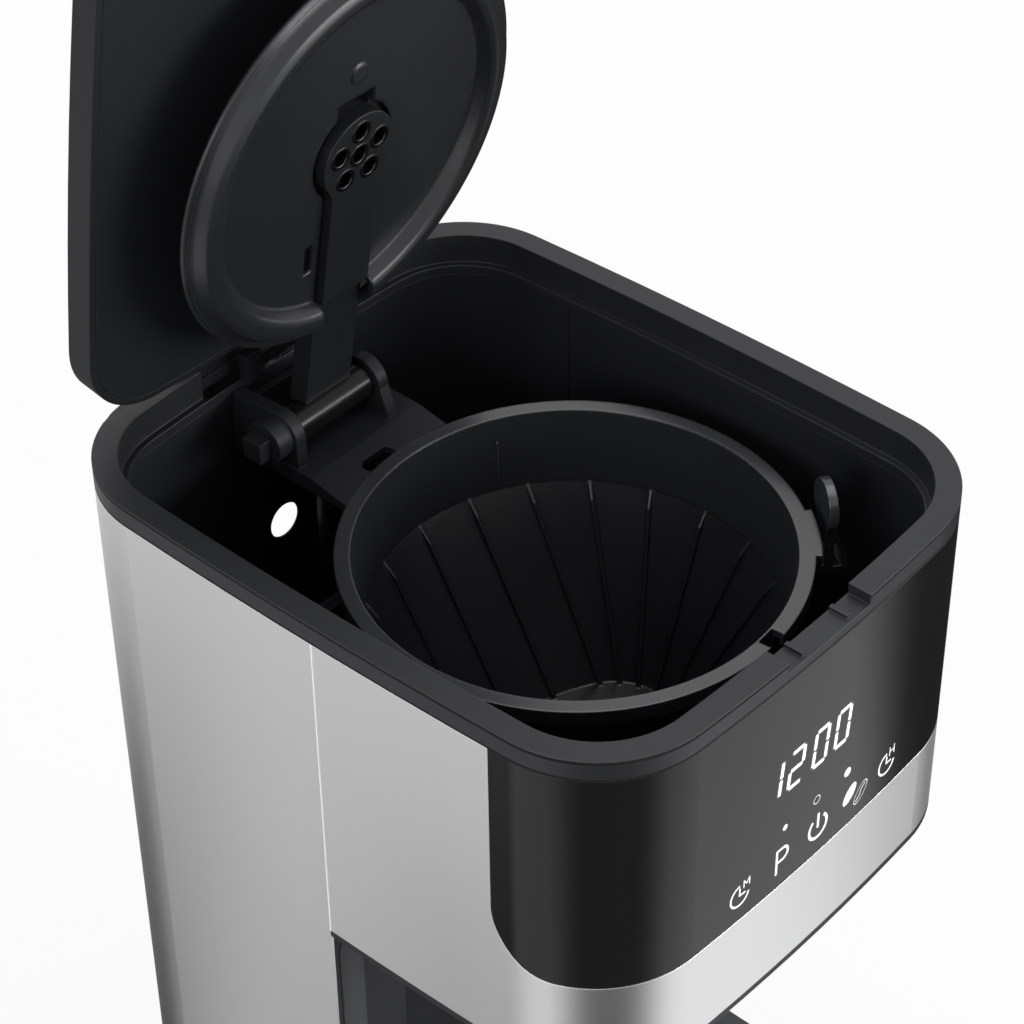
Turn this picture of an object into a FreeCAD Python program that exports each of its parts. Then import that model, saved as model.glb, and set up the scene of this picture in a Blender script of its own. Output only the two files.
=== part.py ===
"""Drip coffee maker with its lid and spray cover swung open.

Frame: millimetres, +Z up, +X to the right, the front at -Y.  The origin is on the
table, under the middle of the body's plan.
"""
import FreeCAD, Part
import collections
import math
import os

V = FreeCAD.Vector

# Body plan: bowed sides and round corners
BODY_WIDTH = 180.0
BODY_DEPTH = 219.0
SIDE_BOW_RADIUS = 1943.0
FRONT_BOW_RADIUS = 912.0
CORNER_RADIUS = 37.3

# Heights
BODY_HEIGHT = 340.0
BASE_HEIGHT = 40.0
HEAD_HEIGHT = 122.3
FOOT_HEIGHT = 4.0

# Walls and running gaps
SKIN = 1.2
HOUSING_WALL = 2.5
TUB_WALL = 2.2
FIT = 0.15
CLEARANCE = 0.3
PIN_CLEARANCE = 0.05
SEAM = 0.3

# Top frame
FRAME_TOP_WIDTH = 7.6
FRAME_BAND = 7.0
LEDGE_DEPTH = 10.0
LEDGE_WIDTH = 2.2
LEDGE_THICKNESS = 3.0
NOTCH_WIDTH = 36.4
NOTCH_DEPTH = 3.5
NOTCH_RIB_SPACING = 20.0
NOTCH_RIB_WIDTH = 1.6
NOTCH_RIB_LENGTH = 6.0
NOTCH_RIB_HEIGHT = 1.2
POST_WIDTH = 6.0
POST_X = -11.0
POST_TOP_DEPTH = 2.4
POST_FROM_LID = 0.4

# Tower, bay and head
TOWER_DEPTH = 111.8
BAY_RECESS_RADIUS = 70.0
BAY_CENTRE_FROM_FRONT = 71.5
REAR_COVER_WIDTH = 104.0
REAR_OPENING_WIDTH = 84.0
REAR_OPENING_SILL = 20.0
HEAD_EDGE = 2.3

# Front panel and what stands behind it
PANEL_HEIGHT = 79.0
PANEL_FROM_FRONT = 44.0
PANEL_CORNER = 20.0
WINDOW_WIDTH = 88.0
WINDOW_HEIGHT = 56.0
WINDOW_TOP = 26.0
BOARD_THICKNESS = 1.2
DISPLAY_WIDTH = 40.0
DISPLAY_HEIGHT = 19.0
DISPLAY_DEPTH = 41.5
KEY_DEPTH = 75.4
KEY_SPACING = 17.2
KEY_COUNT = 5
KEY_SIZE = 8.0

# Lid
LID_GAP = 0.9
LID_REAR_GAP = 3.9
LID_THICKNESS = 9.7
LID_PROUD = 0.4
LID_WALL = 2.2
LID_EDGE_BEVEL = 1.0
LID_TAB_WIDTH = 34.8
LID_TAB_THICKNESS = 2.0
LID_OPEN_ANGLE = 80.4
LID_AXIS_FROM_REAR = 3.6
LID_AXIS_RISE = 1.0
LID_PIN_RADIUS = 1.25
LID_KNUCKLE_RADIUS = 2.8
LID_KNUCKLE_WIDTH = 58.8
LID_LUG_WIDTH = 6.0

# Filter basket
BASKET_FRONT_GAP = 11.3
BASKET_MOUTH_RADIUS = 64.4
BASKET_RIM_WIDTH = 4.7
BASKET_RIM_DEPTH = 20.9
BASKET_RIM_THICKNESS = 2.5
BASKET_LIP = 5.2
BASKET_WALL = 2.0
BASKET_BAND_TAPER = 2.9
BASKET_BREAK_DEPTH = 46.0
BASKET_FLOOR_DEPTH = 106.0
BASKET_FLOOR_LENGTH = 80.0
BASKET_FLOOR_WIDTH = 52.0
BASKET_FLOOR_END_RADIUS = 20.0
RIB_COUNT = 20
RIB_TURN = 0.0
RIB_WIDTH = 1.2
RIB_HEIGHT = 1.5
RIB_START = 0.15
RIB_RUN_IN = 0.08
RIM_NOTCH_WIDTH = 7.0
RIM_NOTCH_DEPTH = 4.2
RIM_WALL = 1.5
RIM_NOTCH_ANGLE = -85.0
RIM_LEDGE_WIDTH = 1.9
RIM_LEDGE_ANGLE = -44.0
RIM_LEDGE_SPAN = 17.0
HANDLE_ANGLE = -36.0
HANDLE_GAP = 4.9
HANDLE_WIDTH = 16.0
HANDLE_THICKNESS = 2.8
HANDLE_TOP_DEPTH = 11.0
HANDLE_PLATE_DEPTH = 20.5
HANDLE_BOTTOM_DEPTH = 41.0
HANDLE_LOOP = 4.6
HANDLE_STRAP = 1.6
HANDLE_STRAP_WIDTH = 10.0
HANDLE_STRAP_RISE = 4.5
HANDLE_STRAP_TOP = 14.0
HANDLE_FOOT_GAP = 0.05

# Drip valve in the basket's spout
SPOUT_RADIUS = 11.0
SPOUT_WALL = 2.0
SPOUT_LENGTH = 13.0
SPOUT_ROOM = 3.0
SPOUT_RIM = 2.0
VALVE_STEM_RADIUS = 5.2
VALVE_STEM_CLEARANCE = 0.4
VALVE_PLUG_RADIUS = 8.2
VALVE_PLUG_HEIGHT = 2.5
VALVE_TIP_DROP = 5.0
VALVE_SEAT = 2.0
VALVE_SEAL = 0.8
VALVE_CAP = 2.0
VALVE_STEM_NECK = 1.0
VALVE_GUIDE = 2.5
VALVE_TIP_ROUND = 2.0
CAP_DRAIN_WIDTH = 2.0
CAP_DRAIN_EDGE = 1.4
CAP_DRAIN_START = 5.4
SPRING_RADIUS = 6.6
SPRING_WIRE = 0.9
SPRING_SIDES = 4
SPRING_TURNS = 3

# Spray cover, arm and their swivel
COVER_RADIUS = 65.0
COVER_THICKNESS = 2.2
COVER_REST_GAP = 0.5
COVER_RIDGE_RADIUS = 57.0
COVER_RIDGE_HEIGHT = 4.2
COVER_RIDGE_HALF = 5.5
COVER_STEP = 0.5
COVER_BOSS_RADIUS = 3.2
COVER_BOSS_OFFSET = 27.0
COVER_SLOT_WIDTH = 3.2
COVER_SLOT_START = 28.0
COVER_SLOT_LENGTH = 10.0
COVER_SLOT_GAP = 3.4
COVER_CREST_ROUND = 0.9
ARM_REACH = 99.8
ARM_WIDTH = 19.0
ARM_GAP = 0.7
ARM_FLANGE = 3.0
ARM_THICKNESS = 6.6
ARM_PROUD = 2.8
NECK_RADIUS = 8.0
HEAD_RADIUS = 13.8
HEAD_GAP = 1.8
HEAD_NOTCH_WIDTH = 15.0
HEAD_NOTCH_DEPTH = 5.0
SPRAY_HOLE_RADIUS = 3.0
SPRAY_HOLE_CIRCLE = 8.2
SPRAY_HOLE_COUNT = 5
CHANNEL_WIDTH = 9.0
CHANNEL_HEIGHT = 3.2
ARM_SKIN = 1.6
HEAD_WALL = 2.5
SWIVEL_DEPTH = 18.9
SWIVEL_RADIUS = 6.0
SWIVEL_PIN_RADIUS = 3.0
EAR_SPACING = 32.0
EAR_THICKNESS = 4.0
EAR_RADIUS = 8.0
BOSS_RADIUS = 7.0
BOSS_LENGTH = 6.0
PIN_HEAD = 7.0
PIN_HEAD_LENGTH = 5.0

# Swivel carrier over the tank
CARRIER_LEFT = 20.5
CARRIER_RIGHT = 27.6
CARRIER_WALL = 2.5
CARRIER_DECK_DROP = 9.5
CARRIER_SKIRT = 5.5
CARRIER_SLOT_LENGTH = 13.0
CARRIER_SLOT_WIDTH = 5.0
CARRIER_SLOT_X = 1.0
CARRIER_SLOPE_RUN = 13.0
CARRIER_BACK_RISE = 2.0
EAR_FOOT = 4.0
CHEEK_FALL = 1.5

# Tank and brew chamber
PARTITION_GAP = 1.2
PARTITION_DEPTH = 34.0
PARTITION_SIDE_DEPTH = 62.0
TANK_FLOOR_HEIGHT = 125.0
CHAMBER_FLOOR_DEPTH = 115.8
OVERFLOW_DEPTH = 74.0
OVERFLOW_RADIUS = 6.2
OVERFLOW_X = -2.0
OVERFLOW_LAND = 0.7
OVERFLOW_SPREAD = 1.7

# Base and heating
HATCH_WIDTH = 90.0
HOT_PLATE_RADIUS = 62.0
HOT_PLATE_RISE = 2.0
HOT_PLATE_DISH = 1.0
HOT_PLATE_RIM = 6.0
HOT_PLATE_SLOPE = 4.0
HOT_PLATE_THICKNESS = 1.2
SEAL_WIDTH = 3.0
SEAL_LIP = 1.4
SEAL_RISE = 0.8
HEATER_RADIUS = 42.0
HEATER_TUBE = 5.0
HEATER_SIDES = 8
ELEMENT_TUBE = 4.4
HEATER_TURN = 14.0
HEATER_LEG = 6.0
HEATER_GAP_ANGLE = 60.0
SPIGOT_LENGTH = 10.0
BRACKET_WIDTH = 14.0
BRACKET_THICKNESS = 1.5
BRACKET_STUD = 3.0
THERMOSTAT_RADIUS = 8.0
THERMOSTAT_HEIGHT = 9.0
THERMOSTAT_FROM_CENTRE = 17.0
TAB_WIDTH = 4.8
TAB_THICKNESS = 0.8
TAB_LENGTH = 6.0
TAB_SPACING = 10.0
FUSE_RADIUS = 3.0
FUSE_LENGTH = 22.0
BASE_PLATE_THICKNESS = 3.0
FOOT_RADIUS = 9.0
FOOT_TAPER = 1.0
FOOT_INSET = 26.0
VENT_COUNT = 7
VENT_PITCH = 9.0
VENT_LENGTH = 46.0
VENT_WIDTH = 3.0
GLAND_RADIUS = 6.5
GLAND_BORE = 3.6
GLAND_COLLAR = 2.5
GLAND_COLLAR_LENGTH = 3.0
GLAND_X = -40.0

# Power board in the base
POWER_BOARD_X = -45.0
POWER_BOARD_WIDTH = 50.0
POWER_BOARD_DEPTH = 38.0
POWER_BOARD_THICKNESS = 1.6
POWER_BOARD_FROM_BAY = 8.0
POST_HEIGHT = 6.0
POST_SIZE = 5.0
POST_INSET = 4.0
RELAY_SIZE = (18.0, 14.0, 14.0)
CAPACITOR_RADIUS = 6.0
CAPACITOR_HEIGHT = 17.0
COMPONENT_OFFSET = 11.0

# Water pipes
HOSE_RADIUS = 5.5
HOSE_BORE = 3.5
HOSE_BEND = 14.0
RISER_X = 10.0
RISER_FROM_REAR = 20.0
RISER_RISE = 3.0
RISER_DROP = 20.0
RISER_COLLAR = 3.0
RISER_BORE = 2.3
INLET_X = -10.0
INLET_FROM_REAR = 34.0
INLET_STAND = 2.0
INLET_WALL = 1.2
INLET_FLANGE = 3.0
INLET_LENGTH = 16.0

# Places worked out from the sizes above
FRONT_Y = -BODY_DEPTH / 2
REAR_Y = BODY_DEPTH / 2
TUB_INSET = FRAME_TOP_WIDTH
TUB_INNER = FRAME_TOP_WIDTH + LEDGE_WIDTH
HOUSING_INSET = SKIN + FIT
HOUSING_INNER = HOUSING_INSET + HOUSING_WALL
FRAME_SKIRT = HOUSING_INNER + FIT
TOWER_FRONT = REAR_Y - TOWER_DEPTH
BAY_Y = FRONT_Y + BAY_CENTRE_FROM_FRONT
HEAD_BOTTOM = BODY_HEIGHT - HEAD_HEIGHT
HEAD_FLOOR = HEAD_BOTTOM + HEAD_EDGE
REAR_OPENING_BOTTOM = BASE_HEIGHT + REAR_OPENING_SILL
SKIN_TOP = BODY_HEIGHT - FRAME_BAND
TUB_TOP = BODY_HEIGHT - LEDGE_DEPTH - LEDGE_THICKNESS
BASKET_RIM_RADIUS = BASKET_MOUTH_RADIUS + BASKET_RIM_WIDTH
BASKET_BREAK_RADIUS = BASKET_MOUTH_RADIUS - BASKET_BAND_TAPER
BASKET_Y = FRONT_Y + TUB_INNER + BASKET_FRONT_GAP + BASKET_RIM_RADIUS
PARTITION_Y = max(BASKET_Y + BASKET_RIM_RADIUS + PARTITION_GAP,
                  BAY_Y + BAY_RECESS_RADIUS + HOUSING_WALL + CLEARANCE)
PARTITION_TOP = BODY_HEIGHT - PARTITION_DEPTH
LID_AXIS = V(0, REAR_Y - LID_AXIS_FROM_REAR, BODY_HEIGHT + LID_AXIS_RISE)
SWIVEL_AXIS = V(0, BASKET_Y + ARM_REACH, BODY_HEIGHT - SWIVEL_DEPTH)
COVER_BOTTOM = BODY_HEIGHT - BASKET_RIM_DEPTH + COVER_REST_GAP
CHAMBER_FLOOR = BODY_HEIGHT - CHAMBER_FLOOR_DEPTH
BASKET_FLOOR = BODY_HEIGHT - BASKET_FLOOR_DEPTH
SPOUT_BOTTOM = BASKET_FLOOR - SPOUT_LENGTH
RIM_TOP = BODY_HEIGHT - BASKET_RIM_DEPTH
PLATE_UNDER = BASE_HEIGHT + HOT_PLATE_RISE - HOT_PLATE_DISH - HOT_PLATE_THICKNESS
WATER_TUBE_Z = PLATE_UNDER - 2 * ELEMENT_TUBE - HEATER_TUBE
BASE_FLOOR = FOOT_HEIGHT + BASE_PLATE_THICKNESS
DECK_Z = BODY_HEIGHT - SWIVEL_DEPTH - CARRIER_DECK_DROP
OVER = 1.0
FAR = 2 * (BODY_WIDTH + BODY_DEPTH + BODY_HEIGHT)


def box(x0, x1, y0, y1, z0, z1):
    return Part.makeBox(x1 - x0, y1 - y0, z1 - z0, V(x0, y0, z0))


def rod(radius, length, start, axis):
    return Part.makeCylinder(radius, length, start, axis)


def cross_rod(radius, x0, x1, axis_point):
    """Round bar along X, between x0 and x1, on the axis through axis_point."""
    return rod(radius, x1 - x0, V(x0, axis_point.y, axis_point.z), V(1, 0, 0))


def upright(radius, x, y, z0, z1):
    return rod(radius, z1 - z0, V(x, y, z0), V(0, 0, 1))


def polygon_face(points):
    return Part.Face(Part.makePolygon(points + points[:1]))


def side_profile(points, x0, x1):
    """Solid from (y, z) points, between x0 and x1."""
    return polygon_face([V(x0, y, z) for y, z in points]).extrude(V(x1 - x0, 0, 0))


def turned(points, x, y):
    """Solid of revolution from (radius, z) points about the upright axis at x, y."""
    solid = polygon_face([V(r, 0, z) for r, z in points]).revolve(V(0, 0, 0), V(0, 0, 1), 360)
    solid.translate(V(x, y, 0))
    return solid


def ring_sector(inner, outer, low, high, angle, span):
    """Piece of a ring about the vertical axis, centred on the angle."""
    face = polygon_face([V(inner, 0, low), V(outer, 0, low), V(outer, 0, high), V(inner, 0, high)])
    sector = face.revolve(V(0, 0, 0), V(0, 0, 1), span)
    sector.rotate(V(0, 0, 0), V(0, 0, 1), angle - span / 2)
    return sector


def join(first, *others):
    return first.fuse(list(others)).removeSplitter()


def bow(x):
    """How far the bowed front or rear face falls back from its middle, at x."""
    return FRONT_BOW_RADIUS - math.sqrt(FRONT_BOW_RADIUS ** 2 - x ** 2)


def corner_centre(end_y, end_sign):
    """Centre of the plan's right-hand corner arc, at the front (-1) or rear (+1) end."""
    side = V(BODY_WIDTH / 2 - SIDE_BOW_RADIUS, 0, 0)
    end = V(0, end_y - end_sign * FRONT_BOW_RADIUS, 0)
    reach_side = SIDE_BOW_RADIUS - CORNER_RADIUS
    reach_end = FRONT_BOW_RADIUS - CORNER_RADIUS
    apart = end - side
    along = (reach_side ** 2 - reach_end ** 2 + apart.Length ** 2) / (2 * apart.Length)
    across = math.sqrt(reach_side ** 2 - along ** 2)
    unit = apart / apart.Length
    return side + unit * along + V(unit.y, -unit.x, 0) * across * -end_sign


def plan_outline(inset, rear_trim=0.0):
    """Closed outline of the body's plan, moved inwards by inset: eight tangent arcs."""
    side = V(BODY_WIDTH / 2 - SIDE_BOW_RADIUS, 0, 0)
    corners = []
    for end_sign, end_y in ((-1, FRONT_Y), (1, REAR_Y - rear_trim)):
        end = V(0, end_y - end_sign * FRONT_BOW_RADIUS, 0)
        centre = corner_centre(end_y, end_sign)
        to_side = (centre - side).normalize()
        to_end = (centre - end).normalize()
        on_side = side + to_side * (SIDE_BOW_RADIUS - inset)
        on_end = end + to_end * (FRONT_BOW_RADIUS - inset)
        bend = centre + (to_side + to_end).normalize() * (CORNER_RADIUS - inset)
        corners.append((on_end, bend, on_side, V(0, end_y - end_sign * inset, 0)))
    mirror = lambda p: V(-p.x, p.y, 0)
    (f_end, f_bend, f_side, f_mid), (r_end, r_bend, r_side, r_mid) = corners
    right = V(BODY_WIDTH / 2 - inset, 0, 0)
    arcs = [
        (mirror(f_end), f_mid, f_end), (f_end, f_bend, f_side),
        (f_side, right, r_side), (r_side, r_bend, r_end),
        (r_end, r_mid, mirror(r_end)), (mirror(r_end), mirror(r_bend), mirror(r_side)),
        (mirror(r_side), mirror(right), mirror(f_side)),
        (mirror(f_side), mirror(f_bend), mirror(f_end)),
    ]
    return Part.Wire([Part.Arc(*arc).toShape() for arc in arcs])


def prism(inset, z0, z1, rear_trim=0.0):
    solid = Part.Face(plan_outline(inset, rear_trim)).extrude(V(0, 0, z1 - z0))
    solid.translate(V(0, 0, z0))
    return solid


def band(outer, inner, z0, z1):
    """Upright wall that follows the plan, from one inset to a deeper one."""
    return prism(outer, z0, z1).cut(prism(inner, z0 - 1, z1 + 1))


def behind(y):
    return box(-FAR, FAR, y, FAR, -FAR, FAR)


def ahead(y):
    return box(-FAR, FAR, -FAR, y, -FAR, FAR)


def between_x(x0, x1):
    return box(x0, x1, -FAR, FAR, -FAR, FAR)


def bent_path(points, bend):
    """Straight runs with a tangent arc of radius bend at each inner point."""
    edges = []
    start = points[0]
    for before, here, after in zip(points, points[1:], points[2:]):
        into = (here - before).normalize()
        out = (after - here).normalize()
        half = into.getAngle(out) / 2
        leave = here - into * bend * math.tan(half)
        rejoin = here + out * bend * math.tan(half)
        inward = (out - into).normalize()
        middle = here + inward * bend * (1 / math.cos(half) - 1)
        edges.append(Part.LineSegment(start, leave).toShape())
        edges.append(Part.Arc(leave, middle, rejoin).toShape())
        start = rejoin
    edges.append(Part.LineSegment(start, points[-1]).toShape())
    return Part.Wire(edges)


def pipe(points):
    """Rubber hose along a bent path, with its bore."""
    path = bent_path(points, HOSE_BEND)
    first = (points[1] - points[0]).normalize()
    tubes = []
    for radius in (HOSE_RADIUS, HOSE_BORE):
        ring = Part.Wire([Part.makeCircle(radius, points[0], first)])
        tubes.append(path.makePipeShell([ring], True, False))
    return tubes[0].cut(tubes[1])


def flat_sided(sides, across, centre, normal, side_way):
    """Regular outline round centre, with a flat facing side_way at half its width, across."""
    other = normal.cross(side_way)
    reach = across / math.cos(math.pi / sides)
    points = []
    for i in range(sides):
        angle = 2 * math.pi * (i + 0.5) / sides
        points.append(centre + (side_way * math.cos(angle) + other * math.sin(angle)) * reach)
    return Part.makePolygon(points + points[:1])


def opened(shape, axis_point):
    """Swing a piece from its shut place up to the open place about an axis along X."""
    swung = shape.copy()
    swung.rotate(axis_point, V(-1, 0, 0), LID_OPEN_ANGLE)
    return swung


def save(name, shape):
    if not shape.isValid():
        raise ValueError(name + " is not a valid shape")
    shape.exportStep("parts/" + name + ".step")
    print(name, len(shape.Solids), "solids", round(shape.Volume / 1000, 2), "cm3")


def panel_field(grow):
    """Everything in front of the panel's edge line: one round-cornered block, grown by grow."""
    edge_y = FRONT_Y + PANEL_FROM_FRONT + grow
    bottom = SKIN_TOP - PANEL_HEIGHT - grow
    radius = PANEL_CORNER + grow
    arc_y = edge_y - radius
    arc_z = bottom + radius
    slant = radius * math.sqrt(0.5)
    at = lambda y, z: V(-FAR, y, z)
    corner = Part.Arc(at(edge_y, arc_z), at(arc_y + slant, arc_z - slant), at(arc_y, bottom))
    front = FRONT_Y - BODY_DEPTH
    top = SKIN_TOP + grow
    points = [at(arc_y, bottom), at(front, bottom), at(front, top), at(edge_y, top), at(edge_y, arc_z)]
    wire = Part.Wire([corner.toShape()] + Part.makePolygon(points).Edges)
    return Part.Face(wire).extrude(V(2 * FAR, 0, 0))


Oval = collections.namedtuple("Oval", "end_x end_radius drop side_radius turn z")


def basket_oval(grow):
    """The basket's floor: two end arcs and two flat side arcs, tangent to each other."""
    end_x = BASKET_FLOOR_LENGTH / 2 - BASKET_FLOOR_END_RADIUS
    half = BASKET_FLOOR_WIDTH / 2
    end = BASKET_FLOOR_END_RADIUS
    side = (end_x ** 2 + half ** 2 - end ** 2) / (2 * (half - end))
    drop = side - half
    return Oval(end_x, end + grow, drop, side + grow, math.atan2(drop, end_x), BASKET_FLOOR)


def basket_circle(radius, z):
    """Circle divided at the same angles as the floor, so that the two can be lofted."""
    return Oval(0.0, radius, 0.0, radius, basket_oval(0).turn, z)


def oval_point(shape, angle):
    """Point of the outline where its outward normal has the given angle."""
    normal = V(math.cos(angle), math.sin(angle), 0)
    if abs(math.sin(angle)) > math.sin(shape.turn):
        centre = V(0, -math.copysign(shape.drop, math.sin(angle)), shape.z)
        return centre + normal * shape.side_radius
    centre = V(math.copysign(shape.end_x, math.cos(angle)), 0, shape.z)
    return centre + normal * shape.end_radius


def oval_wire(shape):
    corner = V(shape.end_x, 0, shape.z) + V(math.cos(shape.turn), math.sin(shape.turn), 0) * shape.end_radius
    signs = ((1, -1), (1, 1), (-1, 1), (-1, -1), (1, -1))
    corners = [V(sx * corner.x, sy * corner.y, shape.z) for sx, sy in signs]
    middles = [oval_point(shape, quarter * math.pi / 2) for quarter in range(4)]
    arcs = [Part.Arc(corners[i], middles[i], corners[i + 1]).toShape() for i in range(4)]
    return Part.Wire(arcs)


def make_base():
    """Hollow base under the tower and the bay, open below for its cover plate."""
    under = BASE_HEIGHT - HOUSING_WALL
    shell = prism(0, FOOT_HEIGHT, BASE_HEIGHT)
    hollow = prism(HOUSING_WALL, FOOT_HEIGHT - OVER, under)
    half = HATCH_WIDTH / 2
    hatch = box(-half, half, BAY_Y + BAY_RECESS_RADIUS + 2 * HOUSING_WALL, REAR_Y - TUB_INNER,
                under - OVER, BASE_HEIGHT + OVER)
    plate_hole = upright(HOT_PLATE_RADIUS + SEAL_WIDTH, 0, BAY_Y, under - OVER, BASE_HEIGHT + OVER)
    gland_hole = rod(GLAND_RADIUS, FAR, V(GLAND_X, 0, BASE_HEIGHT / 2), V(0, 1, 0))
    return shell.cut([hollow, hatch, plate_hole, gland_hole])


def make_base_plate():
    plate = prism(HOUSING_WALL + FIT, FOOT_HEIGHT, FOOT_HEIGHT + BASE_PLATE_THICKNESS)
    vents = []
    for i in range(VENT_COUNT):
        x = (i - (VENT_COUNT - 1) / 2) * VENT_PITCH
        vents.append(box(x - VENT_WIDTH / 2, x + VENT_WIDTH / 2, BAY_Y - VENT_LENGTH / 2,
                         BAY_Y + VENT_LENGTH / 2, 0, BASE_HEIGHT))
    return plate.cut(vents)


def make_feet():
    feet = []
    for sx in (-1, 1):
        for sy in (-1, 1):
            x = sx * (BODY_WIDTH / 2 - FOOT_INSET)
            y = sy * (BODY_DEPTH / 2 - FOOT_INSET)
            feet.append(Part.makeCone(FOOT_RADIUS - FOOT_TAPER, FOOT_RADIUS, FOOT_HEIGHT, V(x, y, 0)))
    return Part.makeCompound(feet)


def make_hot_plate():
    """Pressed plate: a shallow dish inside a raised rim that turns down into the base."""
    top = BASE_HEIGHT + HOT_PLATE_RISE
    low = BASE_HEIGHT - HOUSING_WALL
    t = HOT_PLATE_THICKNESS
    r = HOT_PLATE_RADIUS
    ridge = r - HOT_PLATE_RIM
    dish = ridge - HOT_PLATE_SLOPE
    bevel = HOT_PLATE_RISE
    above = [(0, top - HOT_PLATE_DISH), (dish, top - HOT_PLATE_DISH), (ridge, top), (r - bevel, top),
             (r, top - bevel), (r, low)]
    below = [(r - t, low), (r - t, top - bevel - t / 2), (r - bevel - t / 2, top - t), (ridge, top - t),
             (dish, PLATE_UNDER), (0, PLATE_UNDER)]
    return turned(above + below, 0, BAY_Y)


def make_hot_plate_seal():
    """Rubber ring between the hot plate and the base, with a lip over the base's edge."""
    r0 = HOT_PLATE_RADIUS + FIT
    r1 = HOT_PLATE_RADIUS + SEAL_WIDTH - FIT
    top = BASE_HEIGHT
    return turned([(r0, top - HOUSING_WALL), (r1, top - HOUSING_WALL), (r1, top), (r1 + SEAL_LIP, top),
                   (r1 + SEAL_LIP, top + SEAL_RISE / 2), (r0, top + SEAL_RISE)], 0, BAY_Y)


def heater_turn_y():
    """Where the water tube's legs straighten out, behind the bay's centre."""
    return math.sqrt((HEATER_RADIUS + HEATER_TURN) ** 2 - (RISER_X + HEATER_TURN) ** 2)


def heater_end():
    return BAY_Y + heater_turn_y() + HEATER_LEG


def water_tube_path():
    """Nearly a whole loop whose two ends turn back into legs that point to the rear."""
    y = heater_turn_y()
    turn_x = -RISER_X - HEATER_TURN
    share = HEATER_RADIUS / (HEATER_RADIUS + HEATER_TURN)
    meet = V(turn_x, y, 0) * share
    down = V(0, y, 0) + V(turn_x, 0, 0) - V(turn_x, y, 0).normalize() * HEATER_TURN
    bisect = (V(1, 0, 0) + (down - V(turn_x, y, 0)).normalize()).normalize()
    bend = V(turn_x, y, 0) + bisect * HEATER_TURN
    mirror = lambda p: V(-p.x, p.y, 0)
    leg = V(-RISER_X, y, 0)
    tail = V(-RISER_X, y + HEATER_LEG, 0)
    edges = [Part.LineSegment(tail, leg), Part.Arc(leg, bend, meet),
             Part.Arc(meet, V(0, -HEATER_RADIUS, 0), mirror(meet)),
             Part.Arc(mirror(meet), mirror(bend), mirror(leg)), Part.LineSegment(mirror(leg), mirror(tail))]
    return Part.Wire([edge.toShape() for edge in edges]), tail


def make_heater():
    """Flow heater's water tube round the loop, with a spigot for a hose on each leg."""
    path, tail = water_tube_path()
    ring = flat_sided(HEATER_SIDES, HEATER_TUBE, tail, V(0, -1, 0), V(0, 0, 1))
    water = path.makePipeShell([ring], True, False)
    spigots = [rod(HOSE_BORE - FIT, SPIGOT_LENGTH + HEATER_TUBE, V(x, tail.y - HEATER_TUBE, 0), V(0, 1, 0))
               for x in (tail.x, -tail.x)]
    body = join(water, *spigots)
    body.translate(V(0, BAY_Y, WATER_TUBE_Z))
    return body


def make_heating_element():
    """Sheathed element on top of the water tube, flat against the hot plate."""
    up = V(0, 0, 1)
    centre = V(HEATER_RADIUS, 0, 0)
    loop = Part.Face(flat_sided(HEATER_SIDES, ELEMENT_TUBE, centre, V(0, 1, 0), up))
    element = loop.revolve(V(0, 0, 0), up, 360 - HEATER_GAP_ANGLE)
    element.rotate(V(0, 0, 0), up, 90 + HEATER_GAP_ANGLE / 2)
    element.translate(V(0, BAY_Y, PLATE_UNDER - ELEMENT_TUBE))
    return element


def make_heater_bracket():
    """Bar under the heater, drawn up against it by a stud on the hot plate."""
    top = WATER_TUBE_Z - HEATER_TUBE
    half = HEATER_RADIUS + HEATER_TUBE
    bar = box(-half, half, BAY_Y - BRACKET_WIDTH / 2, BAY_Y + BRACKET_WIDTH / 2, top - BRACKET_THICKNESS, top)
    return join(bar, upright(BRACKET_STUD, 0, BAY_Y, top - BRACKET_THICKNESS, PLATE_UNDER))


def make_thermostat():
    """Button thermostat under the plate, with two blade terminals."""
    y = BAY_Y - THERMOSTAT_FROM_CENTRE
    low = PLATE_UNDER - THERMOSTAT_HEIGHT
    can = upright(THERMOSTAT_RADIUS, 0, y, low, PLATE_UNDER)
    tabs = []
    for side in (-1, 1):
        x = side * TAB_SPACING / 2
        tabs.append(box(x - TAB_THICKNESS / 2, x + TAB_THICKNESS / 2, y - TAB_WIDTH / 2, y + TAB_WIDTH / 2,
                        low - TAB_LENGTH, low + TAB_THICKNESS))
    return join(can, *tabs)


def make_thermal_fuse():
    """Fuse in its sleeve, close under the plate."""
    y = BAY_Y + 2 * FUSE_RADIUS + BRACKET_WIDTH / 2
    z = PLATE_UNDER - FUSE_RADIUS - FIT
    return cross_rod(FUSE_RADIUS, -FUSE_LENGTH / 2, FUSE_LENGTH / 2, V(0, y, z))


def overflow_flare(wall):
    """Cone that widens from the hole in the tank's rear wall out through the rear, with a wall round it."""
    start = V(OVERFLOW_X, REAR_Y - TUB_INNER + OVERFLOW_LAND, BODY_HEIGHT - OVERFLOW_DEPTH)
    run = REAR_Y + OVER - start.y
    slant = math.sqrt(1 + OVERFLOW_SPREAD ** 2)
    radius = OVERFLOW_RADIUS + wall * slant
    return Part.makeCone(radius, radius + run * OVERFLOW_SPREAD, run, start, V(0, 1, 0))


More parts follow.
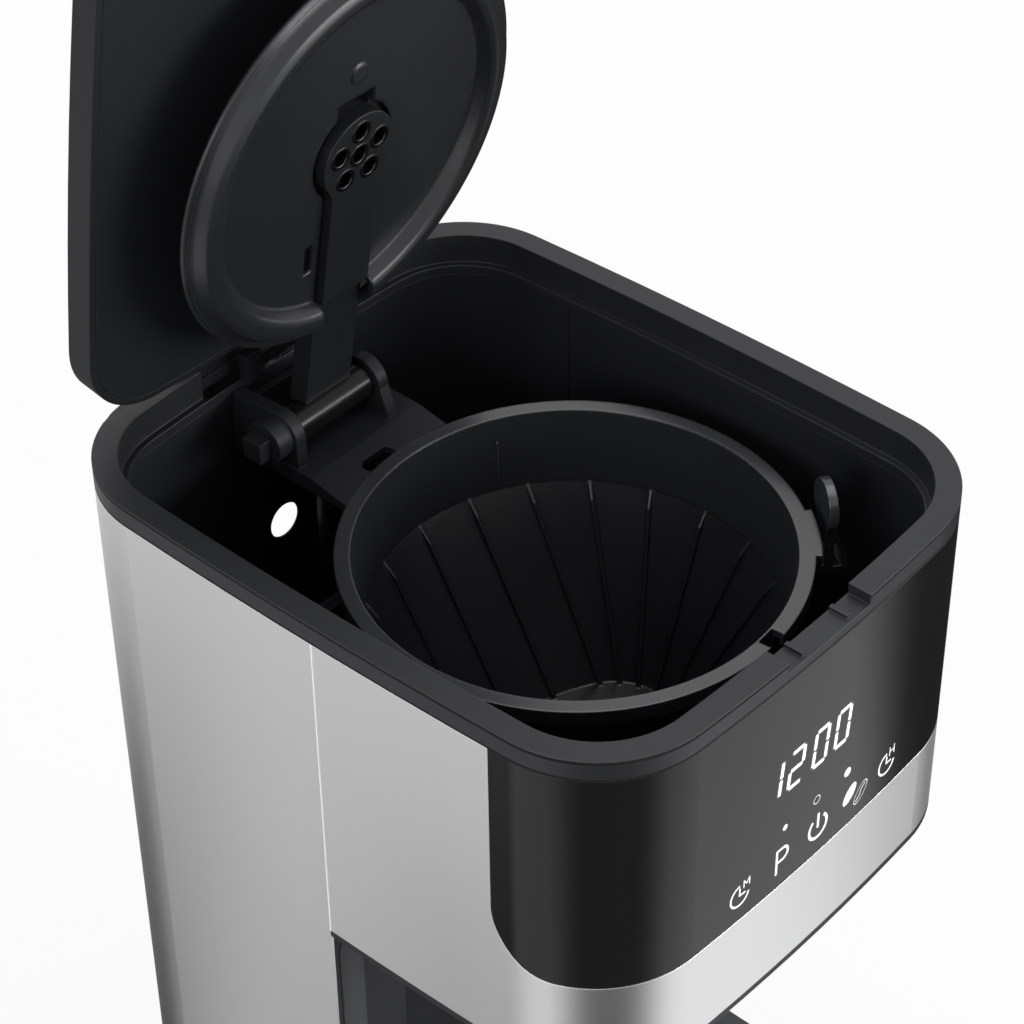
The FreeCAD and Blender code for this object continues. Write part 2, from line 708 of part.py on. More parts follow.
def make_tower_housing():
    """Upright rear shell: side and rear walls, with a hollowed front wall behind the jug's place."""
    walls = band(HOUSING_INSET, HOUSING_INNER, BASE_HEIGHT, SKIN_TOP).common(behind(TOWER_FRONT))
    block = prism(HOUSING_INSET, BASE_HEIGHT, HEAD_BOTTOM).common(behind(TOWER_FRONT))
    block = block.cut(upright(BAY_RECESS_RADIUS, 0, BAY_Y, 0, FAR))
    inside = prism(HOUSING_INNER, 0, FAR).common(behind(TOWER_FRONT + HOUSING_WALL))
    inside = inside.cut(upright(BAY_RECESS_RADIUS + HOUSING_WALL, 0, BAY_Y, -OVER, FAR + OVER))
    front_wall = block.cut(inside)
    half = REAR_OPENING_WIDTH / 2
    hatch = box(-half, half, REAR_Y - TUB_INNER, FAR, REAR_OPENING_BOTTOM, HEAD_BOTTOM)
    return join(walls, front_wall).cut([hatch, overflow_flare(TUB_WALL + CLEARANCE)])


def make_rear_cover():
    """Rear skin, with a thicker land that drops into the housing's service opening."""
    half = REAR_COVER_WIDTH / 2 - SEAM / 2
    skin = band(0, SKIN, BASE_HEIGHT, SKIN_TOP).common(behind(0)).common(between_x(-half, half))
    inner = REAR_OPENING_WIDTH / 2 - CLEARANCE
    land = band(SKIN / 2, HOUSING_INNER, REAR_OPENING_BOTTOM + CLEARANCE, HEAD_BOTTOM - CLEARANCE)
    land = land.common(behind(0)).common(between_x(-inner, inner))
    return join(skin, land).cut(overflow_flare(0))


def make_side_cladding(side):
    """Steel sheet from the bay's edge round the rear corner to the rear cover."""
    sheet = band(0, SKIN, BASE_HEIGHT, SKIN_TOP).common(behind(TOWER_FRONT))
    half = REAR_COVER_WIDTH / 2 + SEAM / 2
    sheet = sheet.cut(between_x(-half, half))
    keep = between_x(0, FAR) if side > 0 else between_x(-FAR, 0)
    return sheet.common(keep)


def make_head_housing():
    """Front shell of the head, with a window for the display and the touch pads."""
    walls = band(HOUSING_INSET, HOUSING_INNER, HEAD_FLOOR, SKIN_TOP).common(ahead(TOWER_FRONT - SEAM))
    half = WINDOW_WIDTH / 2
    top = BODY_HEIGHT - WINDOW_TOP
    return walls.cut(box(-half, half, -FAR, BASKET_Y - BASKET_RIM_RADIUS, top - WINDOW_HEIGHT, top))


def make_head_bottom():
    """Underside of the head: closes it down to the tower's front wall, with a rim round the spout."""
    z0 = HEAD_BOTTOM
    plate = prism(0, z0, HEAD_FLOOR).common(ahead(TOWER_FRONT + HOUSING_WALL))
    tongue = upright(BAY_RECESS_RADIUS + HOUSING_WALL, 0, BAY_Y, z0, HEAD_FLOOR).common(behind(BAY_Y))
    sides = band(0, HOUSING_INNER + FIT, z0 - OVER, HEAD_FLOOR + OVER).common(behind(TOWER_FRONT - SEAM))
    r0 = SPOUT_RADIUS + SPOUT_ROOM
    hole = upright(r0, 0, BASKET_Y, 0, FAR)
    rim = upright(r0 + SPOUT_RIM, 0, BASKET_Y, z0 - SPOUT_RIM, HEAD_FLOOR)
    return join(plate, tongue, rim).cut([sides, hole])


def make_head_cladding():
    sheet = band(0, SKIN, HEAD_FLOOR, SKIN_TOP).common(ahead(TOWER_FRONT - SEAM))
    return sheet.cut(panel_field(FIT))


def make_control_panel():
    return band(0, SKIN, HEAD_BOTTOM, SKIN_TOP).common(panel_field(0))


def board_front():
    """Front face of the display board, behind the bowed housing wall at the window's edge."""
    return FRONT_Y + HOUSING_INNER + bow(WINDOW_WIDTH / 2) + FIT


def make_display_board():
    half = WINDOW_WIDTH / 2
    top = BODY_HEIGHT - WINDOW_TOP
    y = board_front()
    return box(-half, half, y, y + BOARD_THICKNESS, top - WINDOW_HEIGHT, top)


def panel_back(x):
    return FRONT_Y + SKIN + bow(x)


def make_led_display():
    half = DISPLAY_WIDTH / 2
    z = BODY_HEIGHT - DISPLAY_DEPTH
    front = panel_back(half) + FIT
    return box(-half, half, front, board_front(), z - DISPLAY_HEIGHT / 2, z + DISPLAY_HEIGHT / 2)


def make_touch_pads():
    """Five foam contacts between the panel and the board, one behind each symbol."""
    pads = []
    z = BODY_HEIGHT - KEY_DEPTH
    half = KEY_SIZE / 2
    for i in range(KEY_COUNT):
        x = (i - (KEY_COUNT - 1) / 2) * KEY_SPACING
        front = panel_back(abs(x) + half) + FIT
        pads.append(box(x - half, x + half, front, board_front(), z - half, z + half))
    return Part.makeCompound(pads)


def make_power_board():
    """Board on four posts beside the hoses, with its relay and capacitor."""
    half = POWER_BOARD_WIDTH / 2
    y0 = BAY_Y + BAY_RECESS_RADIUS + POWER_BOARD_FROM_BAY
    y1 = y0 + POWER_BOARD_DEPTH
    z = BASE_FLOOR + POST_HEIGHT
    top = z + POWER_BOARD_THICKNESS
    pieces = [box(POWER_BOARD_X - half, POWER_BOARD_X + half, y0, y1, z, top)]
    post = POST_SIZE / 2
    for x in (POWER_BOARD_X - half + POST_INSET, POWER_BOARD_X + half - POST_INSET):
        for y in (y0 + POST_INSET, y1 - POST_INSET):
            pieces.append(box(x - post, x + post, y - post, y + post, BASE_FLOOR, z))
    width, depth, height = RELAY_SIZE
    middle = (y0 + y1) / 2
    left = POWER_BOARD_X - COMPONENT_OFFSET
    pieces.append(box(left - width / 2, left + width / 2, middle - depth / 2, middle + depth / 2,
                      top, top + height))
    right = POWER_BOARD_X + COMPONENT_OFFSET
    pieces.append(upright(CAPACITOR_RADIUS, right, middle, top, top + CAPACITOR_HEIGHT))
    return join(*pieces)


def make_top_frame():
    """Rim round the open top: band, inner ledge for the lid, hinge lugs and the finger notch."""
    rim = band(0, FRAME_TOP_WIDTH, SKIN_TOP, BODY_HEIGHT)
    skirt = band(FRAME_SKIRT, FRAME_TOP_WIDTH, TUB_TOP, SKIN_TOP)
    ledge = band(FRAME_SKIRT, TUB_INNER, TUB_TOP, BODY_HEIGHT - LEDGE_DEPTH)
    half = NOTCH_WIDTH / 2
    notch_z = BODY_HEIGHT - NOTCH_DEPTH
    notch = box(-half, half, FRONT_Y - OVER, FRONT_Y + TUB_INNER + CLEARANCE, notch_z, BODY_HEIGHT + OVER)
    pocket_half = LID_KNUCKLE_WIDTH / 2 + CLEARANCE
    pocket = box(-pocket_half, pocket_half, REAR_Y - TUB_INNER, LID_AXIS.y, TUB_TOP + OVER,
                 BODY_HEIGHT + OVER)
    sweep = cross_rod(LID_KNUCKLE_RADIUS + CLEARANCE, -pocket_half, pocket_half, LID_AXIS)
    frame = join(rim, skirt, ledge).cut([notch, pocket, sweep])
    pieces = []
    for side in (-1, 1):
        x = side * NOTCH_RIB_SPACING / 2
        y = FRONT_Y + FRAME_TOP_WIDTH
        pieces.append(box(x - NOTCH_RIB_WIDTH / 2, x + NOTCH_RIB_WIDTH / 2, y - NOTCH_RIB_LENGTH, y,
                          notch_z - OVER, notch_z + NOTCH_RIB_HEIGHT))
        x0 = side * (pocket_half + LID_LUG_WIDTH / 2) - LID_LUG_WIDTH / 2
        radius = LID_KNUCKLE_RADIUS
        pieces.append(cross_rod(radius, x0, x0 + LID_LUG_WIDTH, LID_AXIS))
        pieces.append(box(x0, x0 + LID_LUG_WIDTH, LID_AXIS.y - radius, LID_AXIS.y + radius,
                          BODY_HEIGHT - OVER, LID_AXIS.z))
    post_y = REAR_Y - FRAME_TOP_WIDTH - LID_REAR_GAP + POST_FROM_LID
    pieces.append(box(POST_X - POST_WIDTH / 2, POST_X + POST_WIDTH / 2, post_y, REAR_Y - FRAME_TOP_WIDTH,
                      TUB_TOP, BODY_HEIGHT - POST_TOP_DEPTH))
    return join(frame, *pieces).cut(cross_rod(LID_PIN_RADIUS, -FAR, FAR, LID_AXIS))


def lid_pin_half():
    return LID_KNUCKLE_WIDTH / 2 + CLEARANCE + LID_LUG_WIDTH


def lid_levels():
    top = BODY_HEIGHT + LID_PROUD
    return top - LID_THICKNESS, top


def lid_inset():
    return FRAME_TOP_WIDTH + LID_GAP


def bevelled_top(solid, z, size):
    """Break every edge that lies in the top plane at z."""
    level = lambda e: max(abs(e.BoundBox.ZMin - z), abs(e.BoundBox.ZMax - z)) < 1e-6
    return solid.makeChamfer(size, [e for e in solid.Edges if level(e)])


def make_lid_shell():
    """Outer lid: a shallow tray upside down, with the hinge barrel and a finger tab."""
    bottom, top = lid_levels()
    trim = LID_REAR_GAP - LID_GAP
    crown = bevelled_top(prism(lid_inset(), bottom, top, trim), top, LID_EDGE_BEVEL)
    shell = crown.cut(prism(lid_inset() + LID_WALL, bottom - OVER, top - LID_WALL, trim))
    rear = REAR_Y - trim - lid_inset()
    half = LID_KNUCKLE_WIDTH / 2
    strap = box(-half, half, rear - LID_WALL / 2, LID_AXIS.y, LID_AXIS.z - LID_KNUCKLE_RADIUS, top)
    barrel = cross_rod(LID_KNUCKLE_RADIUS, -half, half, LID_AXIS)
    tab_half = LID_TAB_WIDTH / 2
    tab_top = top - LID_PROUD
    tab = prism(CLEARANCE, tab_top - LID_TAB_THICKNESS, tab_top)
    tab = tab.common(ahead(FRONT_Y + lid_inset() + LID_WALL / 2)).common(between_x(-tab_half, tab_half))
    bore = cross_rod(LID_PIN_RADIUS + PIN_CLEARANCE, -FAR, FAR, LID_AXIS)
    return opened(join(shell, strap, barrel, tab).cut(bore), LID_AXIS)


def make_lid_liner():
    bottom, _ = lid_levels()
    trim = LID_REAR_GAP - LID_GAP
    inset = lid_inset() + LID_WALL + FIT
    return opened(prism(inset, bottom, bottom + LID_WALL, trim), LID_AXIS)


def make_lid_hinge_pin():
    return cross_rod(LID_PIN_RADIUS, -lid_pin_half(), lid_pin_half(), LID_AXIS)


def dish_levels():
    bottom = COVER_BOTTOM + COVER_STEP
    return bottom, bottom + COVER_THICKNESS


def keyhole(width, head, neck, z0, z1):
    """Outline of the arm seen from below: a round head that necks down into a bar to the swivel."""
    half = width / 2
    pieces = [box(-half, half, BASKET_Y, SWIVEL_AXIS.y, z0, z1), upright(head, 0, BASKET_Y, z0, z1)]
    x = half + neck
    y = BASKET_Y + math.sqrt((head + neck) ** 2 - x ** 2)
    for side in (-1, 1):
        corners = [V(0, BASKET_Y, z0), V(side * x, y, z0), V(0, y, z0), V(0, BASKET_Y, z0)]
        fill = Part.Face(Part.makePolygon(corners)).extrude(V(0, 0, z1 - z0))
        pieces.append(fill.cut(upright(neck, side * x, y, z0 - OVER, z1 + OVER)))
    return join(*pieces)


def head_notch(z0, z1):
    """Opening in the cover beyond the head's far edge."""
    half = HEAD_NOTCH_WIDTH / 2
    return box(-half, half, BASKET_Y - HEAD_RADIUS - HEAD_NOTCH_DEPTH, BASKET_Y, z0, z1)


def make_spray_cover():
    """Round cover over the basket: stepped rim, hollow ridge and a dish with the arm's keyhole."""
    low, high = dish_levels()
    flat = COVER_BOTTOM
    r = COVER_RADIUS
    crest = COVER_RIDGE_RADIUS
    half = COVER_RIDGE_HALF
    tip = flat - COVER_RIDGE_HEIGHT
    t = COVER_THICKNESS
    step = COVER_STEP
    shoulder = tip + COVER_CREST_ROUND
    below = [(0, low), (crest - half, low), (crest - half * 0.6, shoulder), (crest - half * 0.25, tip),
             (crest + half * 0.25, tip), (crest + half * 0.6, shoulder), (crest + half, flat),
             (r - 4 * step, flat), (r - 4 * step, flat + step), (r - 2 * step, flat + step),
             (r - 2 * step, flat + 2 * step), (r, flat + 2 * step)]
    above = [(r, flat + t), (crest + half * 0.8, flat + t), (crest + half * 0.3, tip + t),
             (crest - half * 0.3, tip + t), (crest - half * 0.8, high), (0, high)]
    disc = turned(below + above, 0, BASKET_Y)
    boss = upright(COVER_BOSS_RADIUS, 0, BASKET_Y - COVER_BOSS_OFFSET, low - step, high)
    z0 = tip - OVER
    z1 = high + OVER
    slot = keyhole(ARM_WIDTH + 2 * ARM_GAP, HEAD_RADIUS + HEAD_GAP, NECK_RADIUS - HEAD_GAP, z0, z1)
    slot_right = -ARM_WIDTH / 2 - COVER_SLOT_GAP
    slot_y = BASKET_Y + COVER_SLOT_START
    side_slot = box(slot_right - COVER_SLOT_WIDTH, slot_right, slot_y, slot_y + COVER_SLOT_LENGTH, z0, z1)
    return opened(join(disc, boss).cut([slot, head_notch(z0, z1), side_slot]), SWIVEL_AXIS)


def make_spray_arm():
    """Hollow arm that carries hot water from the swivel to the spray head, proud of the cover's dish."""
    low, high = dish_levels()
    top = low + ARM_THICKNESS
    face = keyhole(ARM_WIDTH, HEAD_RADIUS, NECK_RADIUS, low, high)
    spray = low - ARM_PROUD
    proud = keyhole(ARM_WIDTH, HEAD_RADIUS, NECK_RADIUS, spray, high)
    proud = proud.common(ahead(BASKET_Y + COVER_RIDGE_RADIUS - COVER_RIDGE_HALF))
    flange = keyhole(ARM_WIDTH + 2 * ARM_FLANGE, HEAD_RADIUS + ARM_FLANGE + HEAD_GAP, NECK_RADIUS, high, top)
    flange = flange.common(ahead(BASKET_Y + COVER_RADIUS))
    far_edge = head_notch(high, top + OVER).cut(upright(HEAD_RADIUS, 0, BASKET_Y, 0, FAR))
    half = ARM_WIDTH / 2
    root = box(-half, half, BASKET_Y + COVER_RADIUS - OVER, SWIVEL_AXIS.y, low, top)
    inside = low + ARM_SKIN
    ceiling = inside + CHANNEL_HEIGHT
    channel = box(-CHANNEL_WIDTH / 2, CHANNEL_WIDTH / 2, BASKET_Y, SWIVEL_AXIS.y, inside, ceiling)
    bowl = upright(HEAD_RADIUS - HEAD_WALL, 0, BASKET_Y, inside, ceiling)
    roller = cross_rod(SWIVEL_RADIUS + FIT, -FAR, FAR, SWIVEL_AXIS)
    spots = [(0, 0)]
    for i in range(SPRAY_HOLE_COUNT):
        angle = 2 * math.pi * i / SPRAY_HOLE_COUNT - math.pi / 2
        spots.append((SPRAY_HOLE_CIRCLE * math.cos(angle), SPRAY_HOLE_CIRCLE * math.sin(angle)))
    holes = [upright(SPRAY_HOLE_RADIUS, x, BASKET_Y + y, spray - OVER, inside + OVER) for x, y in spots]
    arm = join(face, proud, flange, root).cut([far_edge, channel, bowl, roller] + holes)
    return opened(arm, SWIVEL_AXIS)


def make_arm_swivel():
    half = EAR_SPACING / 2 - CLEARANCE
    roller = cross_rod(SWIVEL_RADIUS, -half, half, SWIVEL_AXIS)
    bore = cross_rod(SWIVEL_PIN_RADIUS + PIN_CLEARANCE, -FAR, FAR, SWIVEL_AXIS)
    return opened(roller.cut(bore), SWIVEL_AXIS)


def make_swivel_pin():
    """Pin through both ears and the left boss, with a square head outside."""
    right = EAR_SPACING / 2 + EAR_THICKNESS
    left = -right - BOSS_LENGTH
    pin = cross_rod(SWIVEL_PIN_RADIUS, left - OVER, right, SWIVEL_AXIS)
    half = PIN_HEAD / 2
    head = box(left - PIN_HEAD_LENGTH, left, SWIVEL_AXIS.y - half, SWIVEL_AXIS.y + half,
               SWIVEL_AXIS.z - half, SWIVEL_AXIS.z + half)
    return join(pin, head)


def make_swivel_carrier():
    """Bridge over the tank: sloped deck, side skirts, an ear on the right and a long cheek on the left."""
    left = -CARRIER_LEFT
    right = CARRIER_RIGHT
    wall = CARRIER_WALL
    rear = REAR_Y - TUB_INNER - bow(max(CARRIER_LEFT, CARRIER_RIGHT)) - FIT
    axis_y = SWIVEL_AXIS.y
    axis_z = SWIVEL_AXIS.z
    slope_y = axis_y - CARRIER_SLOPE_RUN
    front = PARTITION_Y
    low = PARTITION_TOP
    pieces = [side_profile([(front, low), (front, low + wall), (slope_y, DECK_Z), (rear, DECK_Z),
                            (rear, DECK_Z - wall), (slope_y, DECK_Z - wall)], left, right)]
    skirt_front = front + TUB_WALL + CLEARANCE
    skirt_low = DECK_Z - CARRIER_SKIRT
    for x0 in (left, right - wall):
        pieces.append(side_profile([(skirt_front, low + wall), (slope_y, DECK_Z), (rear, DECK_Z),
                                    (rear, skirt_low), (skirt_front, skirt_low)], x0, x0 + wall))
    pieces.append(box(left, right, rear - wall, rear, skirt_low, axis_z + CARRIER_BACK_RISE))
    inner = EAR_SPACING / 2
    outer = inner + EAR_THICKNESS
    foot = DECK_Z - wall / 2
    ear_front = axis_y - EAR_RADIUS
    for x0 in (-outer, inner):
        pieces.append(cross_rod(EAR_RADIUS, x0, x0 + EAR_THICKNESS, SWIVEL_AXIS))
    pieces.append(side_profile([(ear_front, axis_z), (axis_y + EAR_RADIUS, axis_z),
                                (axis_y + EAR_RADIUS + EAR_FOOT, foot), (ear_front - EAR_FOOT, foot)],
                               inner, outer))
    pieces.append(side_profile([(ear_front, foot), (ear_front, axis_z), (axis_y, axis_z + EAR_RADIUS),
                                (rear, axis_z + EAR_RADIUS - CHEEK_FALL), (rear, foot)], -outer, -inner))
    pieces.append(cross_rod(BOSS_RADIUS, -outer - BOSS_LENGTH, -outer, SWIVEL_AXIS))
    slot_y = (front + slope_y) / 2
    slot_half = (CARRIER_SLOT_LENGTH - CARRIER_SLOT_WIDTH) / 2
    radius = CARRIER_SLOT_WIDTH / 2
    slot_ends = (CARRIER_SLOT_X - slot_half, CARRIER_SLOT_X + slot_half)
    cuts = [box(*slot_ends, slot_y - radius, slot_y + radius, 0, FAR)]
    for x in slot_ends:
        cuts.append(upright(radius, x, slot_y, 0, FAR))
    cuts.append(cross_rod(SWIVEL_PIN_RADIUS, -FAR, FAR, SWIVEL_AXIS))
    cuts.append(upright(HOSE_RADIUS, RISER_X, REAR_Y - RISER_FROM_REAR, 0, FAR))
    return join(*pieces).cut(cuts)


def partition_cuts():
    """Space over the wall between tank and chamber, which is high under the carrier and low beside it."""
    side = prism(TUB_INNER, BODY_HEIGHT - PARTITION_SIDE_DEPTH, TUB_TOP + OVER)
    seat = box(-CARRIER_LEFT, CARRIER_RIGHT, FRONT_Y, REAR_Y, 0, FAR)
    return [prism(TUB_INNER, PARTITION_TOP, TUB_TOP + OVER), side.cut(seat)]


def make_water_tank():
    """Tank in the tower, with a low front wall and the flared overflow through the rear."""
    floor = TANK_FLOOR_HEIGHT
    under = floor - TUB_WALL
    outer = prism(TUB_INSET, under, TUB_TOP).common(behind(PARTITION_Y))
    inner = prism(TUB_INNER, floor, TUB_TOP + OVER).common(behind(PARTITION_Y + TUB_WALL))
    flare = overflow_flare(TUB_WALL).common(prism(SKIN + FIT, under, TUB_TOP))
    start = V(OVERFLOW_X, PARTITION_Y + 2 * TUB_WALL, BODY_HEIGHT - OVERFLOW_DEPTH)
    bore = rod(OVERFLOW_RADIUS, FAR, start, V(0, 1, 0))
    inlet = upright(HOSE_BORE, INLET_X, REAR_Y - INLET_FROM_REAR, under - OVER, floor + OVER)
    riser = upright(HOSE_RADIUS, RISER_X, REAR_Y - RISER_FROM_REAR, under - OVER, floor + OVER)
    return outer.cut([inner] + partition_cuts()).fuse(flare).cut([bore, overflow_flare(0), inlet, riser])


def make_brew_chamber():
    """Tub under the basket, with the seat ring that the basket stands on."""
    rear = PARTITION_Y - CLEARANCE
    floor = CHAMBER_FLOOR
    outer = prism(TUB_INSET, floor - TUB_WALL, TUB_TOP).common(ahead(rear))
    inner = prism(TUB_INNER, floor, TUB_TOP + OVER).common(ahead(rear - TUB_WALL))
    seat_r = BASKET_FLOOR_WIDTH / 2 - BASKET_WALL
    seat = upright(seat_r, 0, BASKET_Y, floor - TUB_WALL / 2, BASKET_FLOOR - BASKET_WALL)
    well = upright(seat_r - TUB_WALL, 0, BASKET_Y, floor, BASKET_FLOOR)
    hole = upright(SPOUT_RADIUS + SPOUT_ROOM, 0, BASKET_Y, 0, FAR)
    return outer.cut([inner] + partition_cuts()).fuse(seat).cut([well, hole])


def basket_form(grow):
    """Round band from the mouth to the break, then a cone that narrows to the long oval floor."""
    break_z = BODY_HEIGHT - BASKET_BREAK_DEPTH
    mouth = BASKET_MOUTH_RADIUS + grow
    waist = BASKET_BREAK_RADIUS + grow
    upper = Part.makeCone(waist, mouth, RIM_TOP - break_z, V(0, 0, break_z))
    sections = [oval_wire(basket_circle(waist, break_z)), oval_wire(basket_oval(grow))]
    return upper.fuse(Part.makeLoft(sections, True, True))


def basket_rib(angle):
    """Thin fin on the cone's inner face, down one straight line of the cone into the floor."""
    high = oval_point(basket_circle(BASKET_BREAK_RADIUS, BODY_HEIGHT - BASKET_BREAK_DEPTH), angle)
    low = oval_point(basket_oval(0), angle)
    normal = V(math.cos(angle), math.sin(angle), 0)
    root = normal * BASKET_WALL / 2
    lift = normal * RIB_HEIGHT
    run_in = high + (low - high) * RIB_RUN_IN
    foot = low + (low - high).normalize() * BASKET_WALL / 2
    corners = [high + root, high - normal * RIB_START, run_in - lift, low - lift, foot - lift, foot + root]
    across = (low - high).cross(normal).normalize() * RIB_WIDTH
    fin = polygon_face(corners).extrude(across)
    fin.translate(across * -0.5)
    return fin


def make_filter_basket():
    """Cone for a folded paper filter: rim, smooth band, ribbed cone and the spout for the valve."""
    pad = Part.Face(oval_wire(basket_oval(BASKET_WALL))).extrude(V(0, 0, -BASKET_WALL))
    ribs = [basket_rib(math.radians(RIB_TURN + 360 * i / RIB_COUNT)) for i in range(RIB_COUNT)]
    cup = basket_form(BASKET_WALL).fuse(pad).cut(basket_form(0).cut(ribs))
    r0 = BASKET_MOUTH_RADIUS
    r1 = BASKET_RIM_RADIUS
    lip_z = RIM_TOP - BASKET_LIP
    under = RIM_TOP - BASKET_RIM_THICKNESS
    rim = turned([(r0, RIM_TOP), (r1, RIM_TOP), (r1, lip_z), (r1 - RIM_WALL, lip_z), (r1 - RIM_WALL, under),
                  (r0, under)], 0, 0)
    spout = upright(SPOUT_RADIUS, 0, 0, SPOUT_BOTTOM, BASKET_FLOOR - BASKET_WALL / 2)
    throat = upright(SPOUT_RADIUS - SPOUT_WALL, 0, 0, SPOUT_BOTTOM + VALVE_SEAT, BASKET_FLOOR + OVER)
    seat = upright(VALVE_STEM_RADIUS + VALVE_STEM_CLEARANCE, 0, 0, SPOUT_BOTTOM - OVER, BASKET_FLOOR)
    notch = box(r1 - RIM_NOTCH_DEPTH, r1 + OVER, -RIM_NOTCH_WIDTH / 2, RIM_NOTCH_WIDTH / 2,
                lip_z - OVER, RIM_TOP + OVER)
    notch.rotate(V(0, 0, 0), V(0, 0, 1), RIM_NOTCH_ANGLE)
    ledge = ring_sector(r1 - RIM_WALL, r1 + RIM_LEDGE_WIDTH, lip_z, RIM_TOP, RIM_LEDGE_ANGLE, RIM_LEDGE_SPAN)
    basket = cup.fuse([rim, ledge, spout]).cut([throat, seat, notch])
    basket.translate(V(0, BASKET_Y, 0))
    return basket


def make_filter_handle():
    """Upright thumb plate beside the rim, on a stem with the loop strap that braces it below."""
    r0 = BASKET_RIM_RADIUS + HANDLE_GAP
    r1 = r0 + HANDLE_THICKNESS
    r2 = r1 + HANDLE_LOOP
    root = r1 - HANDLE_THICKNESS / 2
    top = BODY_HEIGHT - HANDLE_TOP_DEPTH
    low = BODY_HEIGHT - HANDLE_BOTTOM_DEPTH
    half = HANDLE_WIDTH / 2
    stem_half = HANDLE_STRAP_WIDTH / 2
    plate = box(r0, r1, -half, half, BODY_HEIGHT - HANDLE_PLATE_DEPTH, top - half)
    crown = rod(half, HANDLE_THICKNESS, V(r0, 0, top - half), V(1, 0, 0))
    stem = box(r0, r1, -stem_half, stem_half, low, top - half)
    foot = box(BASKET_BREAK_RADIUS, root, -stem_half, stem_half, low, low + HANDLE_THICKNESS)
    strap = HANDLE_STRAP
    knee = low + HANDLE_STRAP_RISE
    high = top - HANDLE_STRAP_TOP
    outline = [(root, low), (r2, low), (r2, knee), (r1, high), (root, high), (root, high - strap),
               (r1, high - 2 * strap), (r2 - strap, knee - strap / 2), (r2 - strap, low + strap),
               (root, low + strap)]
    loop = polygon_face([V(r, -stem_half, z) for r, z in outline]).extrude(V(0, HANDLE_STRAP_WIDTH, 0))
    handle = join(plate, crown, stem, foot, loop)
    handle.rotate(V(0, 0, 0), V(0, 0, 1), HANDLE_ANGLE)
    handle = handle.cut(basket_form(BASKET_WALL + HANDLE_FOOT_GAP))
    handle.translate(V(0, BASKET_Y, 0))
    return handle


def valve_plug_levels():
    low = SPOUT_BOTTOM + VALVE_SEAT + VALVE_SEAL + FIT
    return low, low + VALVE_PLUG_HEIGHT


def make_drip_valve():
    """Plunger with a round tip below the head, pushed up by the jug's lid to let coffee through."""
    low, high = valve_plug_levels()
    r = VALVE_STEM_RADIUS
    neck = r - VALVE_STEM_NECK
    tip = HEAD_BOTTOM - VALVE_TIP_DROP
    blunt = VALVE_TIP_ROUND
    guide = high + VALVE_GUIDE
    return turned([(0, tip), (r - blunt, tip), (r, tip + blunt), (r, low), (VALVE_PLUG_RADIUS, low),
                   (VALVE_PLUG_RADIUS, high), (neck, high), (neck, guide), (0, guide)], 0, BASKET_Y)


def make_drip_valve_seal():
    low, _ = valve_plug_levels()
    r = VALVE_STEM_RADIUS + FIT
    under = low - VALVE_SEAL
    return turned([(r, under), (VALVE_PLUG_RADIUS, under), (VALVE_PLUG_RADIUS, low), (r, low)], 0, BASKET_Y)


def make_drip_valve_cap():
    """Slotted disc in the spout's mouth that holds the spring down and guides the stem."""
    r = SPOUT_RADIUS - SPOUT_WALL - FIT
    disc = upright(r, 0, BASKET_Y, BASKET_FLOOR - VALVE_CAP, BASKET_FLOOR)
    guide = upright(VALVE_STEM_RADIUS - VALVE_STEM_NECK + VALVE_STEM_CLEARANCE, 0, BASKET_Y, 0, FAR)
    half = CAP_DRAIN_WIDTH / 2
    reach = r - CAP_DRAIN_EDGE
    drains = [box(-half, half, BASKET_Y + CAP_DRAIN_START, BASKET_Y + reach, 0, FAR),
              box(-half, half, BASKET_Y - reach, BASKET_Y - CAP_DRAIN_START, 0, FAR)]
    return disc.cut([guide] + drains)


def coil_gap(points, turn_points):
    """Least distance between points of the coil that lie over half a turn apart along it."""
    apart = turn_points // 2
    return min((a - b).Length for i, a in enumerate(points) for b in points[i + apart:])


def make_drip_valve_spring():
    """Open coil between the plug and the cap: half-turn arcs of flat-sided wire."""
    _, high = valve_plug_levels()
    low = high + SPRING_WIRE / 2 + FIT
    rise = BASKET_FLOOR - VALVE_CAP - SPRING_WIRE / 2 - FIT - low

    def at(turn):
        angle = 2 * math.pi * turn
        return V(SPRING_RADIUS * math.cos(angle), BASKET_Y + SPRING_RADIUS * math.sin(angle),
                 low + rise * turn / SPRING_TURNS)

    halves = [i / 2 for i in range(2 * SPRING_TURNS)]
    path = Part.Wire([Part.Arc(at(t), at(t + 0.25), at(t + 0.5)).toShape() for t in halves])
    ahead_way = (at(0.01) - at(0)).normalize()
    ring = flat_sided(SPRING_SIDES, SPRING_WIRE / 2, at(0), ahead_way, V(1, 0, 0))
    steps = 36
    line = [at(i / steps) for i in range(SPRING_TURNS * steps + 1)]
    print("spring's least gap to itself", round(coil_gap(line, steps) - SPRING_WIRE, 2), "mm")
    return path.makePipeShell([ring], True, False)


def make_check_valve():
    """Outlet of the tank: a tube through the floor with a flange below and a spigot for the hose."""
    top = TANK_FLOOR_HEIGHT + INLET_STAND
    low = TANK_FLOOR_HEIGHT - TUB_WALL
    outer = HOSE_BORE - FIT
    bore = outer - INLET_WALL
    flange = HOSE_RADIUS + INLET_FLANGE
    end = low - INLET_LENGTH
    return turned([(bore, top), (outer, top), (outer, low), (flange, low), (flange, low - INLET_FLANGE),
                   (outer, low - INLET_FLANGE), (outer, end), (bore, end)], INLET_X, REAR_Y - INLET_FROM_REAR)


def make_cold_hose():
    """From the tank's outlet down through the base to the heater's left leg."""
    y = REAR_Y - INLET_FROM_REAR
    top = TANK_FLOOR_HEIGHT - TUB_WALL - INLET_FLANGE - FIT
    corner = V(INLET_X, y, WATER_TUBE_Z)
    return pipe([V(INLET_X, y, top), corner, V(-RISER_X, heater_end() + FIT, WATER_TUBE_Z)])


